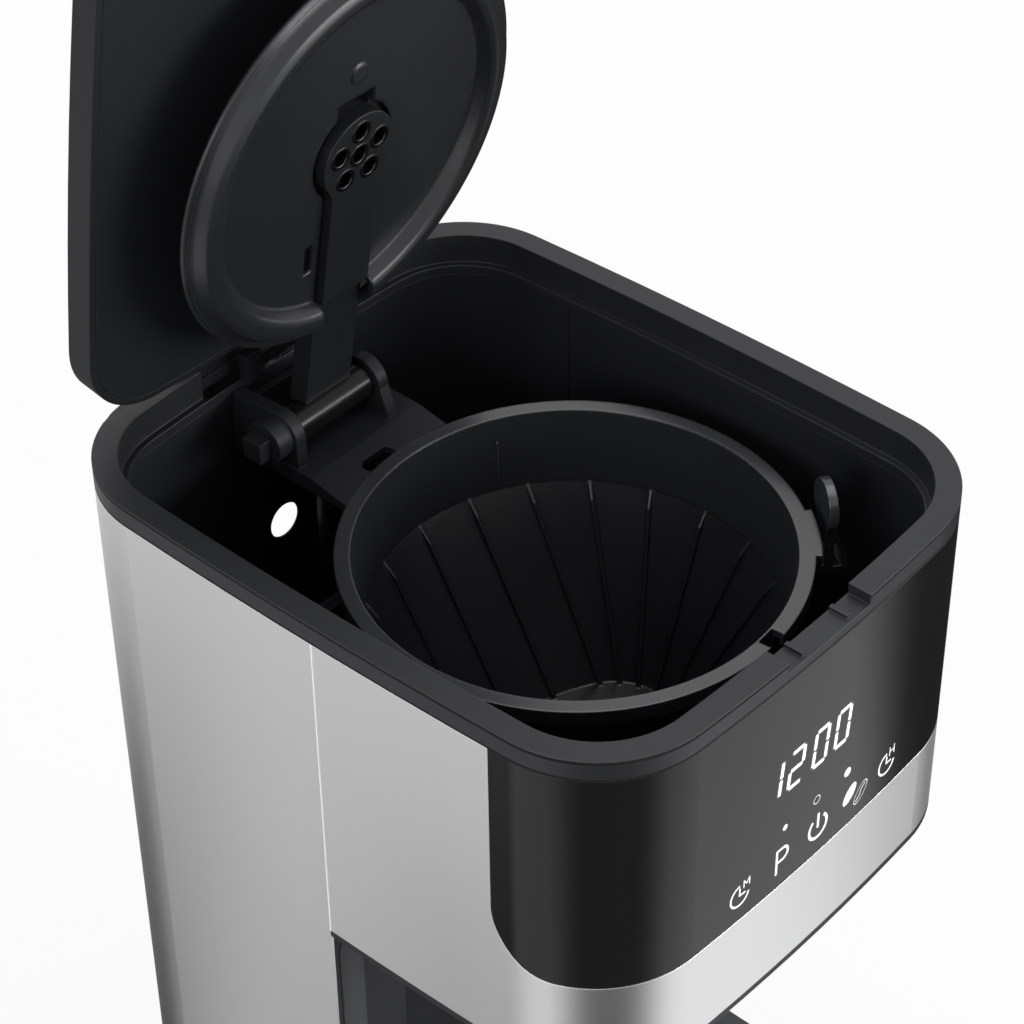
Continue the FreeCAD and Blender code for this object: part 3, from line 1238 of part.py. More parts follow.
def make_hot_hose():
    """From the heater's right leg back and up to the foot of the riser."""
    y = REAR_Y - RISER_FROM_REAR
    top = TANK_FLOOR_HEIGHT - RISER_DROP - FIT
    corner = V(RISER_X, y, WATER_TUBE_Z)
    return pipe([V(RISER_X, y, top), corner, V(RISER_X, heater_end() + FIT, WATER_TUBE_Z)])


def make_riser_tube():
    """Hot water tube up through the tank to the swivel, with a collar on the tank's floor."""
    floor = TANK_FLOOR_HEIGHT
    r = HOSE_RADIUS - FIT
    foot = floor - RISER_DROP
    spigot = HOSE_BORE - FIT
    collar = r + RISER_COLLAR
    top = DECK_Z + RISER_RISE
    end = foot - SPIGOT_LENGTH
    seat = floor + RISER_COLLAR
    return turned([(RISER_BORE, end), (spigot, end), (spigot, foot), (r, foot), (r, floor), (collar, floor),
                   (collar, seat), (r, seat), (r, top), (RISER_BORE, top)],
                  RISER_X, REAR_Y - RISER_FROM_REAR)


def make_cord_gland():
    """Bush through the base's rear wall, with a collar inside."""
    back = V(0, 1, 0)
    edge = abs(GLAND_X) + GLAND_RADIUS + GLAND_COLLAR
    wall_y = REAR_Y - HOUSING_WALL - bow(edge) - FIT
    start = V(GLAND_X, wall_y - GLAND_COLLAR_LENGTH, BASE_HEIGHT / 2)
    grip = rod(GLAND_RADIUS - FIT, GLAND_COLLAR_LENGTH + HOUSING_WALL, start, back)
    collar = rod(GLAND_RADIUS + GLAND_COLLAR, GLAND_COLLAR_LENGTH, start, back)
    return join(grip, collar).cut(rod(GLAND_BORE, FAR, V(GLAND_X, 0, BASE_HEIGHT / 2), back))


PARTS = {
    "base_housing": make_base,
    "base_plate": make_base_plate,
    "rubber_feet": make_feet,
    "hot_plate": make_hot_plate,
    "hot_plate_seal": make_hot_plate_seal,
    "flow_heater": make_heater,
    "heating_element": make_heating_element,
    "heater_bracket": make_heater_bracket,
    "thermostat": make_thermostat,
    "thermal_fuse": make_thermal_fuse,
    "power_board": make_power_board,
    "cord_gland": make_cord_gland,
    "tower_housing": make_tower_housing,
    "rear_cover": make_rear_cover,
    "side_cladding_left": lambda: make_side_cladding(-1),
    "side_cladding_right": lambda: make_side_cladding(1),
    "water_tank": make_water_tank,
    "check_valve": make_check_valve,
    "cold_hose": make_cold_hose,
    "hot_hose": make_hot_hose,
    "riser_tube": make_riser_tube,
    "head_housing": make_head_housing,
    "head_bottom": make_head_bottom,
    "head_cladding": make_head_cladding,
    "control_panel": make_control_panel,
    "display_board": make_display_board,
    "led_display": make_led_display,
    "touch_pads": make_touch_pads,
    "brew_chamber": make_brew_chamber,
    "top_frame": make_top_frame,
    "lid_hinge_pin": make_lid_hinge_pin,
    "swivel_carrier": make_swivel_carrier,
    "swivel_pin": make_swivel_pin,
    "lid_shell": make_lid_shell,
    "lid_liner": make_lid_liner,
    "spray_cover": make_spray_cover,
    "spray_arm": make_spray_arm,
    "arm_swivel": make_arm_swivel,
    "filter_basket": make_filter_basket,
    "filter_handle": make_filter_handle,
    "drip_valve": make_drip_valve,
    "drip_valve_seal": make_drip_valve_seal,
    "drip_valve_cap": make_drip_valve_cap,
    "drip_valve_spring": make_drip_valve_spring,
}

os.makedirs("parts", exist_ok=True)
for part_name, make in PARTS.items():
    save(part_name, make())
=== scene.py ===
# %% [markdown]
# This lesson dresses a drip coffee maker that stands with its lid open. Its shapes come packed from
# the CAD model, one object for each piece, in metres and on the bodies that move. They are loaded
# first and stay as they are. What follows gives them their finishes, adds the small pieces that a
# CAD model leaves out, and sets up the camera, the floor and the light.

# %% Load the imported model
import math

import bpy
from mathutils import Matrix, Vector


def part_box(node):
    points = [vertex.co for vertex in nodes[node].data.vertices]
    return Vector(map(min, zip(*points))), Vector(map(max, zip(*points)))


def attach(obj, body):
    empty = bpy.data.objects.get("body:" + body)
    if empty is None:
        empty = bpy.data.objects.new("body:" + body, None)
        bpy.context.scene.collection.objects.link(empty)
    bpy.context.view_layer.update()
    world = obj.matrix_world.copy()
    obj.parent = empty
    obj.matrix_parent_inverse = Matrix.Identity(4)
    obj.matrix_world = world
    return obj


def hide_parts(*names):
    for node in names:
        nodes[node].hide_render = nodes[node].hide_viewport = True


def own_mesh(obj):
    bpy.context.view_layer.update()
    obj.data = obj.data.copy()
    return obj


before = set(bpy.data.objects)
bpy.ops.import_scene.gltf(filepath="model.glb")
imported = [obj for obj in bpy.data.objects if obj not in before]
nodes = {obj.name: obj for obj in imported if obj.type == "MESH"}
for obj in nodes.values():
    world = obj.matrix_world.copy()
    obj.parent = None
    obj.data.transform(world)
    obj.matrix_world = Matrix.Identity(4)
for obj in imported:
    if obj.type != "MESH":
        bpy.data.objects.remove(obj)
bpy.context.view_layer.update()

MM = 0.001

# %% [markdown]
# The camera comes first, because every later choice is judged through it. The photograph looks
# down on the machine's front left corner with a long lens. The camera was solved from the body's
# straight and round edges, so here it is only put in place: a point, a direction it looks back
# along, a small roll and a focal length for a frame 36 mm wide.

# %% Camera
CAMERA_AT = Vector((-0.5060, -0.4485, 0.8805))
CAMERA_BACK = Vector((-0.5743, -0.5142, 0.6370)).normalized()
CAMERA_ROLL = math.radians(-0.75)
CAMERA_LENS = 106.44
FRAME_WIDTH = 36.0
CLIP_END = 30.0
across = Vector((0, 0, 1)).cross(CAMERA_BACK).normalized()
upward = CAMERA_BACK.cross(across)
right_hand = math.cos(CAMERA_ROLL) * across + math.sin(CAMERA_ROLL) * upward
overhead = -math.sin(CAMERA_ROLL) * across + math.cos(CAMERA_ROLL) * upward
camera_turn = Matrix((right_hand, overhead, CAMERA_BACK)).transposed().to_4x4()
bpy.ops.object.select_all(action="DESELECT")
bpy.ops.object.camera_add(location=CAMERA_AT)
camera = bpy.context.object
camera.matrix_world = Matrix.Translation(CAMERA_AT) @ camera_turn
camera.data.sensor_fit = "HORIZONTAL"
camera.data.sensor_width = FRAME_WIDTH
camera.data.lens = CAMERA_LENS
camera.data.clip_end = CLIP_END
bpy.context.scene.camera = camera
print("camera", [round(v, 3) for v in camera.location], "lens", camera.data.lens)

# %% [markdown]
# Every finish below is a sum of masks and noises. Wired by hand, such sums turn into a maze of
# Math nodes, so one small class wraps an output socket and lets Python write the sums: adding two
# of them puts down a Math node. Any other kind of node comes from its one node method, which sets
# the node's options first and then its sockets, with a number, a colour or a link in each.

# %% Shader sums
class Sock:
    """An output socket that takes part in Python sums."""

    def __init__(self, tree, out=None):
        self.tree = tree
        self.out = out

    def node(self, kind, settings=None, sockets=None, output=0):
        """Add a node and give back one of its outputs."""
        made = self.tree.nodes.new("ShaderNode" + kind)
        for key, value in (settings or {}).items():
            setattr(made, key, value)
        for key, value in (sockets or {}).items():
            if isinstance(value, Sock):
                self.tree.links.new(value.out, made.inputs[key])
            else:
                made.inputs[key].default_value = value
        return Sock(self.tree, made.outputs[output] if made.outputs else None)

    def sum(self, operation, first, second):
        return self.node("Math", {"operation": operation}, {0: first, 1: second})

    def __add__(self, other):
        return self.sum("ADD", self, other)

    def __sub__(self, other):
        return self.sum("SUBTRACT", self, other)

    def __rsub__(self, other):
        return self.sum("SUBTRACT", other, self)

    def __mul__(self, other):
        return self.sum("MULTIPLY", self, other)

    def __gt__(self, other):
        return self.sum("GREATER_THAN", self, other)

    __radd__ = __add__
    __rmul__ = __mul__


print("shader sums ready")

# %% [markdown]
# A few steps come up in every finish: starting an empty material, closing it with the shader,
# writing a grey, going from one colour to another, and reading where on the piece a point lies. The
# place is read in Object coordinates, so a pattern stays on its piece when the piece moves.

# %% Finish helpers
def start_finish(name):
    material = bpy.data.materials.new(name)
    material.use_nodes = True
    material.node_tree.nodes.clear()
    return material, Sock(material.node_tree)


def close_finish(start, sockets):
    surface = start.node("BsdfPrincipled", {}, sockets)
    start.node("OutputMaterial", {}, {"Surface": surface})


def grey(level, tint=0.0):
    """Grey that leans to blue by the tint."""
    return (level * (1 - tint), level * (1 - tint / 3), level * (1 + tint), 1.0)


def blend(factor, first, second):
    """Colour between two colours."""
    return factor.node("Mix", {"data_type": "RGBA"}, {0: factor, 6: first, 7: second}, output=2)


def object_place(start):
    return start.node("TexCoord", output="Object")


def height_of(start, place):
    return start.node("SeparateXYZ", {}, {0: place}, output="Z")


def ramp_up(value, low, high, kind="LINEAR"):
    """0 up to low, 1 from high on, straight or smooth between them."""
    limits = {"Value": value, "From Min": low, "From Max": high}
    return value.node("MapRange", {"interpolation_type": kind}, limits)


def dot_of(start, first, second):
    """Dot product of two vectors."""
    return start.node("VectorMath", {"operation": "DOT_PRODUCT"}, {0: first, 1: second}, output="Value")


print("finish helpers ready")

# %% [markdown]
# A Bevel node gives each sharp CAD edge the small radius that a mould has. The angle between that
# rounded normal and the true one marks the edge, where hands have polished the plastic smoother and
# where its colour is painted paler as a highlight. The second mask marks the fine dark seams that
# run round the top frame: it looks for their heights, and only on faces that look away from the
# machine's middle.

# %% Edges and seams
EDGE_FROM, EDGE_TO = 0.01, 0.2
SEAM_CORE, SEAM_EDGE = 0.35 * MM, 0.55 * MM
FACES_OUT = 0.02


def edge_mask(start, rounded):
    """0 on a flat face, rising where the rounded normal leaves the true one."""
    true = start.node("NewGeometry", output="True Normal")
    return ramp_up(1 - dot_of(start, rounded, true), EDGE_FROM, EDGE_TO)


def seam_mask(start, place, heights):
    """1 in fine seams round the outside of an upright wall, at the given heights."""
    height = height_of(start, place)
    level = start.node("VectorMath", {"operation": "MULTIPLY"}, {0: place, 1: (1, 1, 0)})
    normal = start.node("NewGeometry", output="True Normal")
    outside = dot_of(start, level, normal) > FACES_OUT
    lines = 0.0
    for z in heights:
        off = start.node("Math", {"operation": "ABSOLUTE"}, {0: height - z})
        lines = lines + (1 - ramp_up(off, SEAM_CORE, SEAM_EDGE))
    return lines * outside


print("a seam is", round(2 * SEAM_CORE / MM, 2), "mm wide")

# %% [markdown]
# Most of the machine is moulded plastic. Its skin is not flat: the mould was spark eroded, so the
# plastic carries a fine pebble of a few tenths of a millimetre. Edges are a little smoother than the
# rest, and their colour is painted paler as a highlight. The filter shows two more things: its
# upright band is painted paler than the cone under it, as painted light, and its rim has been wiped
# to a polish, which is a clear coat on the shader, and its colour there is painted paler than the
# cone as a highlight.

# %% Moulded plastic
PLASTIC_TINT = 0.08
BAND_FADE = 0.3 * MM
POLISH_ROUGHNESS = 0.2
SEAM_SHADE = 0.001


def moulded(name, level, rough, shine=0.5, pebble=0.45 * MM, depth=0.03 * MM, edge_radius=0.5 * MM,
            painted_highlight_gain=1.9, seams=(), painted_light_bands=()):
    """Pebbled plastic, its edges painted paler as a highlight. Seams are the heights of dark lines. A band
    is a height from which the colour is painted so many times its level, as painted light, and which carries a
    share of polish."""
    material, start = start_finish(name)
    place = object_place(start)
    grain = start.node("TexNoise", {}, {"Vector": place, "Scale": 1 / pebble, "Detail": 2.0})
    cloud = start.node("TexNoise", {}, {"Vector": place, "Scale": 22.0, "Detail": 3.0})
    rounded = start.node("Bevel", {"samples": 8}, {"Radius": edge_radius})
    edge = edge_mask(start, rounded)
    # The paler tone is a painted highlight on the edges; the cloud also drifts the colour a little towards it
    # at random.
    plain, painted_highlight_and_mottle = grey(level * 0.9, PLASTIC_TINT), grey(level * painted_highlight_gain, PLASTIC_TINT)
    shade = blend(edge * 0.5 + cloud * 0.25, plain, painted_highlight_and_mottle)
    roughness = rough - 0.07 + cloud * 0.1 + grain * 0.06 - edge * 0.08
    if seams:
        seam = seam_mask(start, place, seams)
        shade = blend(seam, shade, grey(SEAM_SHADE))
        roughness = roughness + seam * 0.5
    polish = 0.0
    # Above each height the colour is painted paler: painted light on the filter's upright band, a painted
    # highlight on its rim.
    for z, painted_light_gain, coat in painted_light_bands:
        above = ramp_up(height_of(start, place), z - BAND_FADE, z + BAND_FADE)
        shade = blend(above * (0.8 + cloud * 0.3), shade, grey(level * painted_light_gain, PLASTIC_TINT))
        polish = polish + above * coat
    bump = start.node("Bump", {}, {"Strength": 0.35, "Distance": depth, "Height": grain, "Normal": rounded})
    close_finish(start, {"Base Color": shade, "Roughness": roughness, "Specular IOR Level": shine,
                         "Coat Weight": polish, "Coat Roughness": POLISH_ROUGHNESS, "Normal": bump})
    return material


print("moulded plastic ready")

# %% [markdown]
# Each moulding was finished for its work: the frame and the lid are satin, the filter and the spray
# cover are smoother so that they rinse clean, the handle shines from use, and the bay is a grey with
# a coarser pebble. One shared material could be tinted piece by piece; a material for each keeps its
# level, roughness and shine together in one line, where they can be tuned against the photograph.

# %% Plastics of the machine
FRAME_SEAM = 339.2 * MM
PANEL_GAP = 0.3 * MM
CONE_TOP = 294.5 * MM
RIM_DEPTH = 0.9 * MM
ring_seams = [FRAME_SEAM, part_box("control_panel")[1].z + PANEL_GAP]
# The filter's upright band and its rim are painted paler than the cone, as painted light and a painted
# highlight; the rim also takes a clear coat.
filter_painted_light_bands = [(CONE_TOP, 1.9, 0.0), (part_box("filter_basket")[1].z - RIM_DEPTH, 1.8, 0.9)]

frame_black = moulded("frame_black", 0.014, 0.42, shine=0.34, seams=ring_seams)
lid_black = moulded("lid_black", 0.013, 0.44, shine=0.14, pebble=0.6 * MM)
tub_black = moulded("tub_black", 0.014, 0.46, shine=0.18)
filter_black = moulded("filter_black", 0.012, 0.30, shine=0.34, pebble=0.8 * MM, depth=0.01 * MM)
basket_black = moulded("basket_black", 0.010, 0.28, shine=0.38, pebble=0.8 * MM, depth=0.003 * MM,
                       edge_radius=1.1 * MM, painted_light_bands=filter_painted_light_bands)
cover_black = moulded("cover_black", 0.014, 0.28, shine=0.42, pebble=0.8 * MM, depth=0.002 * MM,
                      edge_radius=1.7 * MM)
handle_black = moulded("handle_black", 0.03, 0.24, shine=0.6, pebble=0.8 * MM, depth=0.02 * MM)
bay_grey = moulded("bay_grey", 0.031, 0.5, shine=0.4, pebble=0.6 * MM, depth=0.05 * MM, painted_highlight_gain=1.4)
recess_grey = moulded("recess_grey", 0.013, 0.5, shine=0.3, pebble=0.6 * MM, depth=0.05 * MM, painted_highlight_gain=1.6)
foot_rubber = moulded("foot_rubber", 0.012, 0.75, pebble=1.0 * MM, depth=0.08 * MM)
print("seams of the ring at", [round(z / MM, 2) for z in ring_seams], "mm")

# %% [markdown]
# The head and the tower are clad in stainless sheet. It was brushed upright in the mill, so the
# scratches are long in Z and a fraction of a millimetre wide. Stretching a noise along Z gives
# them. They move the roughness and tilt the surface a little, and a slow second noise stands for
# the uneven sheen that such sheet has. The sheet's edges are painted bright as a highlight.

# %% Brushed steel
SCRATCH_SCALE = (7000.0, 7000.0, 160.0)
STREAK_SCALE = (900.0, 900.0, 9.0)


def brushed(name, level, rough, painted_edge_highlight=0.9):
    material, start = start_finish(name)
    place = object_place(start)
    fine = start.node("Mapping", {}, {"Vector": place, "Scale": SCRATCH_SCALE})
    scratch = start.node("TexNoise", {}, {"Vector": fine, "Scale": 1.0, "Detail": 3.0, "Roughness": 0.6})
    broad = start.node("Mapping", {}, {"Vector": place, "Scale": STREAK_SCALE})
    streak = start.node("TexNoise", {}, {"Vector": broad, "Scale": 1.0, "Detail": 2.0})
    sheen = start.node("TexNoise", {}, {"Vector": place, "Scale": 9.0, "Detail": 2.0})
    rounded = start.node("Bevel", {"samples": 6}, {"Radius": 0.3 * MM})
    edge = edge_mask(start, rounded)
    shade = blend(streak * 0.35 + sheen * 0.65, grey(level * 0.97, 0.01), grey(level * 1.03, 0.0))
    # Edges are painted bright: a painted highlight.
    shade = blend(edge * 0.6, shade, grey(painted_edge_highlight))
    bump = start.node("Bump", {}, {"Strength": 0.08, "Distance": 0.01 * MM, "Height": scratch + streak * 0.2,
                                   "Normal": rounded})
    close_finish(start, {"Base Color": shade, "Metallic": 1.0,
                         "Roughness": rough - 0.06 + scratch * 0.08 + sheen * 0.05, "Normal": bump})
    return material


sheet_steel = brushed("sheet_steel", 0.74, 0.37)
plated_steel = brushed("plated_steel", 0.5, 0.38, 0.6)
# Near white base colour for the seam beads: a painted highlight.
painted_bright_bead_steel = brushed("painted_bright_bead_steel", 0.95, 0.7, 0.95)
print("brushed finishes", sheet_steel.name, plated_steel.name, painted_bright_bead_steel.name)

# %% [markdown]
# The touch panel is one pane of gloss black plastic. A perfect mirror would look like glass in a
# drawing; a real pane has a faint haze from wiping, so the roughness drifts between two low values.
# The swivel's roller, the spray bushes and the display take the same finish at other levels.

# %% Gloss finishes
WIPE_SCALE = (60.0, 60.0, 14.0)


def glossy(name, level, low, high, shine=0.5):
    material, start = start_finish(name)
    wipe = start.node("Mapping", {}, {"Vector": object_place(start), "Scale": WIPE_SCALE})
    haze = start.node("TexNoise", {}, {"Vector": wipe, "Scale": 1.0, "Detail": 4.0})
    rounded = start.node("Bevel", {"samples": 6}, {"Radius": 0.5 * MM})
    close_finish(start, {"Base Color": blend(haze, grey(level * 0.9), grey(level * 1.1)),
                         "Roughness": low + haze * (high - low), "Specular IOR Level": shine,
                         "Normal": rounded})
    return material


pane_black = glossy("pane_black", 0.008, 0.05, 0.12, 0.22)
roller_black = glossy("roller_black", 0.006, 0.18, 0.28, 0.2)
nozzle_black = glossy("nozzle_black", 0.003, 0.10, 0.18)
smoked_display = glossy("smoked_display", 0.02, 0.08, 0.16)
print("gloss finishes", pane_black.name, roller_black.name, nozzle_black.name, smoked_display.name)

# %% [markdown]
# The hot plate has a sprayed non-stick coat: dark, a little uneven like orange peel, with fine light
# specks. The pieces inside the machine are plain moulded, cast or coated stock, and for those a
# colour that drifts between two close shades is enough.

# %% Hot plate and inner stock
def coated(name, level, rough, speck_level):
    """Sprayed coat with fine light specks."""
    material, start = start_finish(name)
    place = object_place(start)
    speck = start.node("TexVoronoi", {}, {"Vector": place, "Scale": 900.0}, output="Distance")
    spot = 1 - ramp_up(speck, 0.1, 0.22)
    peel = start.node("TexNoise", {}, {"Vector": place, "Scale": 700.0, "Detail": 1.0})
    rounded = start.node("Bevel", {"samples": 6}, {"Radius": 0.6 * MM})
    bump = start.node("Bump", {}, {"Strength": 0.3, "Distance": 0.03 * MM, "Height": peel, "Normal": rounded})
    close_finish(start, {"Base Color": blend(spot * 0.5, grey(level), grey(speck_level)),
                         "Roughness": rough - spot * 0.1 + peel * 0.08, "Normal": bump})
    return material


def coloured(name, first, second, rough, scale=60.0):
    """Plain stock in a colour that drifts a little."""
    material, start = start_finish(name)
    drift = start.node("TexNoise", {}, {"Vector": object_place(start), "Scale": scale, "Detail": 3.0})
    rounded = start.node("Bevel", {"samples": 6}, {"Radius": 0.4 * MM})
    close_finish(start, {"Base Color": blend(drift, first, second), "Roughness": rough - 0.05 + drift * 0.1,
                         "Normal": rounded})
    return material


plate_coat = coated("plate_coat", 0.016, 0.42, 0.12)
silicone = coloured("silicone", (0.62, 0.62, 0.58, 1), (0.72, 0.72, 0.69, 1), 0.5)
white_stock = coloured("white_stock", (0.66, 0.66, 0.63, 1), (0.74, 0.74, 0.72, 1), 0.45)
board_green = coloured("board_green", (0.02, 0.12, 0.06, 1), (0.035, 0.18, 0.09, 1), 0.35, 220.0)
cast_alloy = coloured("cast_alloy", (0.50, 0.50, 0.51, 1), (0.60, 0.60, 0.61, 1), 0.5, 300.0)
print("inner stock", silicone.name, white_stock.name, board_green.name, cast_alloy.name)

# %% [markdown]
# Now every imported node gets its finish. The list goes by finish and not by node, because that shows
# at a glance which pieces came out of the same mould, mill or bath. The mesh stays as it is: only
# the material in its first slot changes.

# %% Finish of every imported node
NODE_FINISH = {
    frame_black: ["top_frame", "rear_cover"],
    lid_black: ["lid_shell", "lid_liner"],
    tub_black: ["water_tank", "brew_chamber", "swivel_carrier", "swivel_pin", "riser_tube"],
    filter_black: ["spray_arm", "drip_valve", "drip_valve_cap"],
    basket_black: ["filter_basket"],
    handle_black: ["filter_handle"],
    cover_black: ["spray_cover"],
    bay_grey: ["base_housing", "base_plate"],
    recess_grey: ["tower_housing", "head_housing", "head_bottom"],
    sheet_steel: ["side_cladding_left", "side_cladding_right", "head_cladding"],
    plated_steel: ["heating_element", "heater_bracket", "thermostat", "lid_hinge_pin", "drip_valve_spring"],
    pane_black: ["control_panel"],
    roller_black: ["arm_swivel"],
    smoked_display: ["led_display"],
    plate_coat: ["hot_plate"],
    foot_rubber: ["rubber_feet", "hot_plate_seal", "cord_gland", "touch_pads"],
    silicone: ["cold_hose", "hot_hose", "drip_valve_seal"],
    white_stock: ["thermal_fuse", "check_valve"],
    board_green: ["power_board", "display_board"],
    cast_alloy: ["flow_heater"],
}
for finish, names in NODE_FINISH.items():
    for name in names:
        nodes[name].material_slots[0].material = finish
left_over = set(nodes) - {name for names in NODE_FINISH.values() for name in names}
print("finished nodes", len(nodes) - len(left_over), "left over", sorted(left_over))

# %% [markdown]
# The small pieces come next: printed marks, lit digits, bushes, beads, trims and screws. Each is
# modelled as by hand. A primitive is added where it belongs with nothing else selected, some of its
# points, edges or faces are picked by their place, and edit mode's operators shape them. One helper
# adds, one picks, one adds and applies a modifier, and one closes a piece: it applies the piece's
# place to its mesh, lets it ride on a body of the machine and names the finish it takes after.

# %% Modelling helpers
import bmesh


def add(kind, name, **options):
    """One new primitive, the only thing selected."""
    bpy.ops.object.select_all(action="DESELECT")
    getattr(bpy.ops.mesh, "primitive_" + kind + "_add")(**options)
    piece = bpy.context.object
    piece.name = name
    return piece


def pick(kind, test):
    """Select, in edit mode, the verts, edges or faces whose middle in the world passes a test."""
    piece = bpy.context.object
    bpy.ops.mesh.select_mode(type={"verts": "VERT", "edges": "EDGE", "faces": "FACE"}[kind])
    bpy.ops.mesh.select_all(action="DESELECT")
    mesh = bmesh.from_edit_mesh(piece.data)
    for item in getattr(mesh, kind):
        corners = [item] if kind == "verts" else item.verts
        middle = sum((piece.matrix_world @ v.co for v in corners), Vector()) / len(corners)
        item.select_set(bool(test(middle)))
    mesh.select_flush_mode()
    bmesh.update_edit_mesh(piece.data)


def use(kind, **settings):
    """Add a modifier to the active piece, set it and apply it."""
    bpy.ops.object.modifier_add(type=kind)
    modifier = bpy.context.object.modifiers[-1]
    for key, value in settings.items():
        setattr(modifier, key, value)
    bpy.ops.object.modifier_apply(modifier=modifier.name)


def apply_place():
    bpy.ops.object.transform_apply(location=True, rotation=True, scale=True)


def settle(piece, body, finish, smooth=None):
    """Close a piece. Faces that meet at less than the smooth angle, in degrees, are shaded as one."""
    bpy.ops.object.select_all(action="DESELECT")
    piece.select_set(True)
    bpy.context.view_layer.objects.active = piece
    apply_place()
    piece.data.materials.clear()
    piece.data.materials.append(finish)
    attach(piece, body)
    if smooth:
        bpy.ops.object.shade_smooth_by_angle(angle=math.radians(smooth))


def copy_of(piece, name, move):
    """A copy with its own mesh, moved by a matrix."""
    twin = piece.copy()
    twin.data = piece.data.copy()
    twin.name = name
    bpy.context.collection.objects.link(twin)
    twin.data.transform(move)
    return twin


print("modelling helpers ready")

# %% [markdown]
# The panel's marks are white ink behind the gloss pane, and the clock's digits are lit segments.
# Both are drawn flat first, in millimetres as seen from the front: across, and up from the table.
# A stroke is a small disc whose far half is drawn out, so its ends are round. A lit segment is the
# same with a six-sided disc, so its ends are pointed.

# %% Strokes
def drawn_out(name, sides, radius, a, b, turn):
    """Disc at a whose far half is moved on to b."""
    way = Vector((b[0] - a[0], b[1] - a[1], 0))
    angle = math.atan2(way.y, way.x)
    start = Vector((a[0] * MM, a[1] * MM, 0))
    piece = add("circle", name, vertices=sides, radius=radius * MM, fill_type="NGON", location=start,
                rotation=(0, 0, angle + turn))
    bpy.ops.object.mode_set(mode="EDIT")
    pick("verts", lambda p: (p - start).dot(way) > 0)
    bpy.ops.transform.translate(value=way * MM)
    bpy.ops.object.mode_set(mode="OBJECT")
    return piece


def stroke(a, b, width=1.0):
    return drawn_out("stroke", 12, width / 2, a, b, math.pi / 12)


def segment(a, b, width):
    return drawn_out("segment", 6, width / math.sqrt(3), a, b, -math.pi / 2)


print("strokes and segments ready")

# %% [markdown]
# Clock faces, the standby sign and a bean's outline need bands that follow a circle. A curve with a
# thickness could give them, but a circle extruded inwards is a flat band of clean quads at once, and
# the faces outside the arc are deleted. A dot is a filled circle, squeezed where it has to be oval.

# %% Arcs and dots
def arc(centre, radius, first, last, width=1.0, sides=48):
    """Band round a centre from one angle to another, in degrees."""
    middle = Vector((centre[0] * MM, centre[1] * MM, 0))
    outer = radius + width / 2
    piece = add("circle", "arc", vertices=sides, radius=outer * MM, fill_type="NOTHING", location=middle)
    inward = (radius - width / 2) / outer
    bpy.ops.object.mode_set(mode="EDIT")
    bpy.ops.mesh.select_all(action="SELECT")
    bpy.ops.mesh.extrude_edges_move()
    bpy.ops.transform.resize(value=(inward, inward, 1), center_override=middle)
    span = (last - first) % 360 or 360
    heading = lambda p: (math.degrees(math.atan2(p.y - middle.y, p.x - middle.x)) - first) % 360
    pick("faces", lambda p: heading(p) > span)
    bpy.ops.mesh.delete(type="FACE")
    bpy.ops.mesh.select_all(action="SELECT")
    bpy.ops.mesh.normals_make_consistent(inside=False)
    bpy.ops.object.mode_set(mode="OBJECT")
    return piece


def dot(centre, width, height=None, tilt=0.0):
    """Filled round or oval spot."""
    piece = add("circle", "dot", vertices=32, radius=width / 2 * MM, fill_type="NGON",
                location=(centre[0] * MM, centre[1] * MM, 0), rotation=(0, 0, math.radians(tilt)))
    bpy.ops.object.mode_set(mode="EDIT")
    bpy.ops.transform.resize(value=(1, (height or width) / width, 1), orient_type="LOCAL",
                             center_override=piece.location)
    bpy.ops.object.mode_set(mode="OBJECT")
    return piece


print("arcs and dots ready")

# %% [markdown]
# What the marks show is common to such machines: two clock faces for the hours and the minutes, a
# letter for the programme, the standby sign, two beans for the strength, and a lamp dot over each of
# the middle three. Heights are given down from the machine's top, and angles run anticlockwise from
# the right.

# %% Clock faces, programme and standby
TOP = 340.0
LETTER_M = [((0, 0), (0, 2.7)), ((0, 2.7), (1.2, 0.9)), ((1.2, 0.9), (2.4, 2.7)), ((2.4, 2.7), (2.4, 0))]
LETTER_H = [((0, 0), (0, 3.1)), ((0, 1.55), (2.2, 1.55)), ((2.2, 0), (2.2, 3.1))]


def clock_face(x, z):
    hands = [stroke((x, z + 2.6), (x, z), 0.7), stroke((x, z), (x + 2.2, z), 0.7)]
    return [arc((x, z), 3.8, 90, 355, 0.75)] + hands


def letter(corner, paths, width=0.45):
    """Thin strokes between points given from a letter's lower left corner."""
    at = lambda p: (corner[0] + p[0], corner[1] + p[1])
    return [stroke(at(a), at(b), width) for a, b in paths]


marks = clock_face(-34.3, TOP - 76.1) + letter((-32.6, TOP - 74.0), LETTER_M)
marks += clock_face(34.5, TOP - 75.9) + letter((36.0, TOP - 73.8), LETTER_H)
marks += [stroke((-18.2, TOP - 80.0), (-18.2, TOP - 71.2)), stroke((-18.2, TOP - 71.2), (-15.6, TOP - 71.2)),
          stroke((-18.2, TOP - 75.8), (-15.6, TOP - 75.8)), arc((-15.6, TOP - 73.5), 2.3, -90, 90)]
marks += [arc((0.7, TOP - 75.3), 4.1, 130, 52, 1.1), stroke((0.65, TOP - 70.3), (0.65, TOP - 75.2), 1.1)]
print("strokes so far", len(marks))

# %% [markdown]
# One bean is filled and the other is drawn in outline with a crease down its middle. The outline is an
# arc that goes all the way round, flattened and tilted as an object, because the strokes are joined
# later and their places are applied then. The crease is a chain of short strokes, whose round ends
# hide the joints.

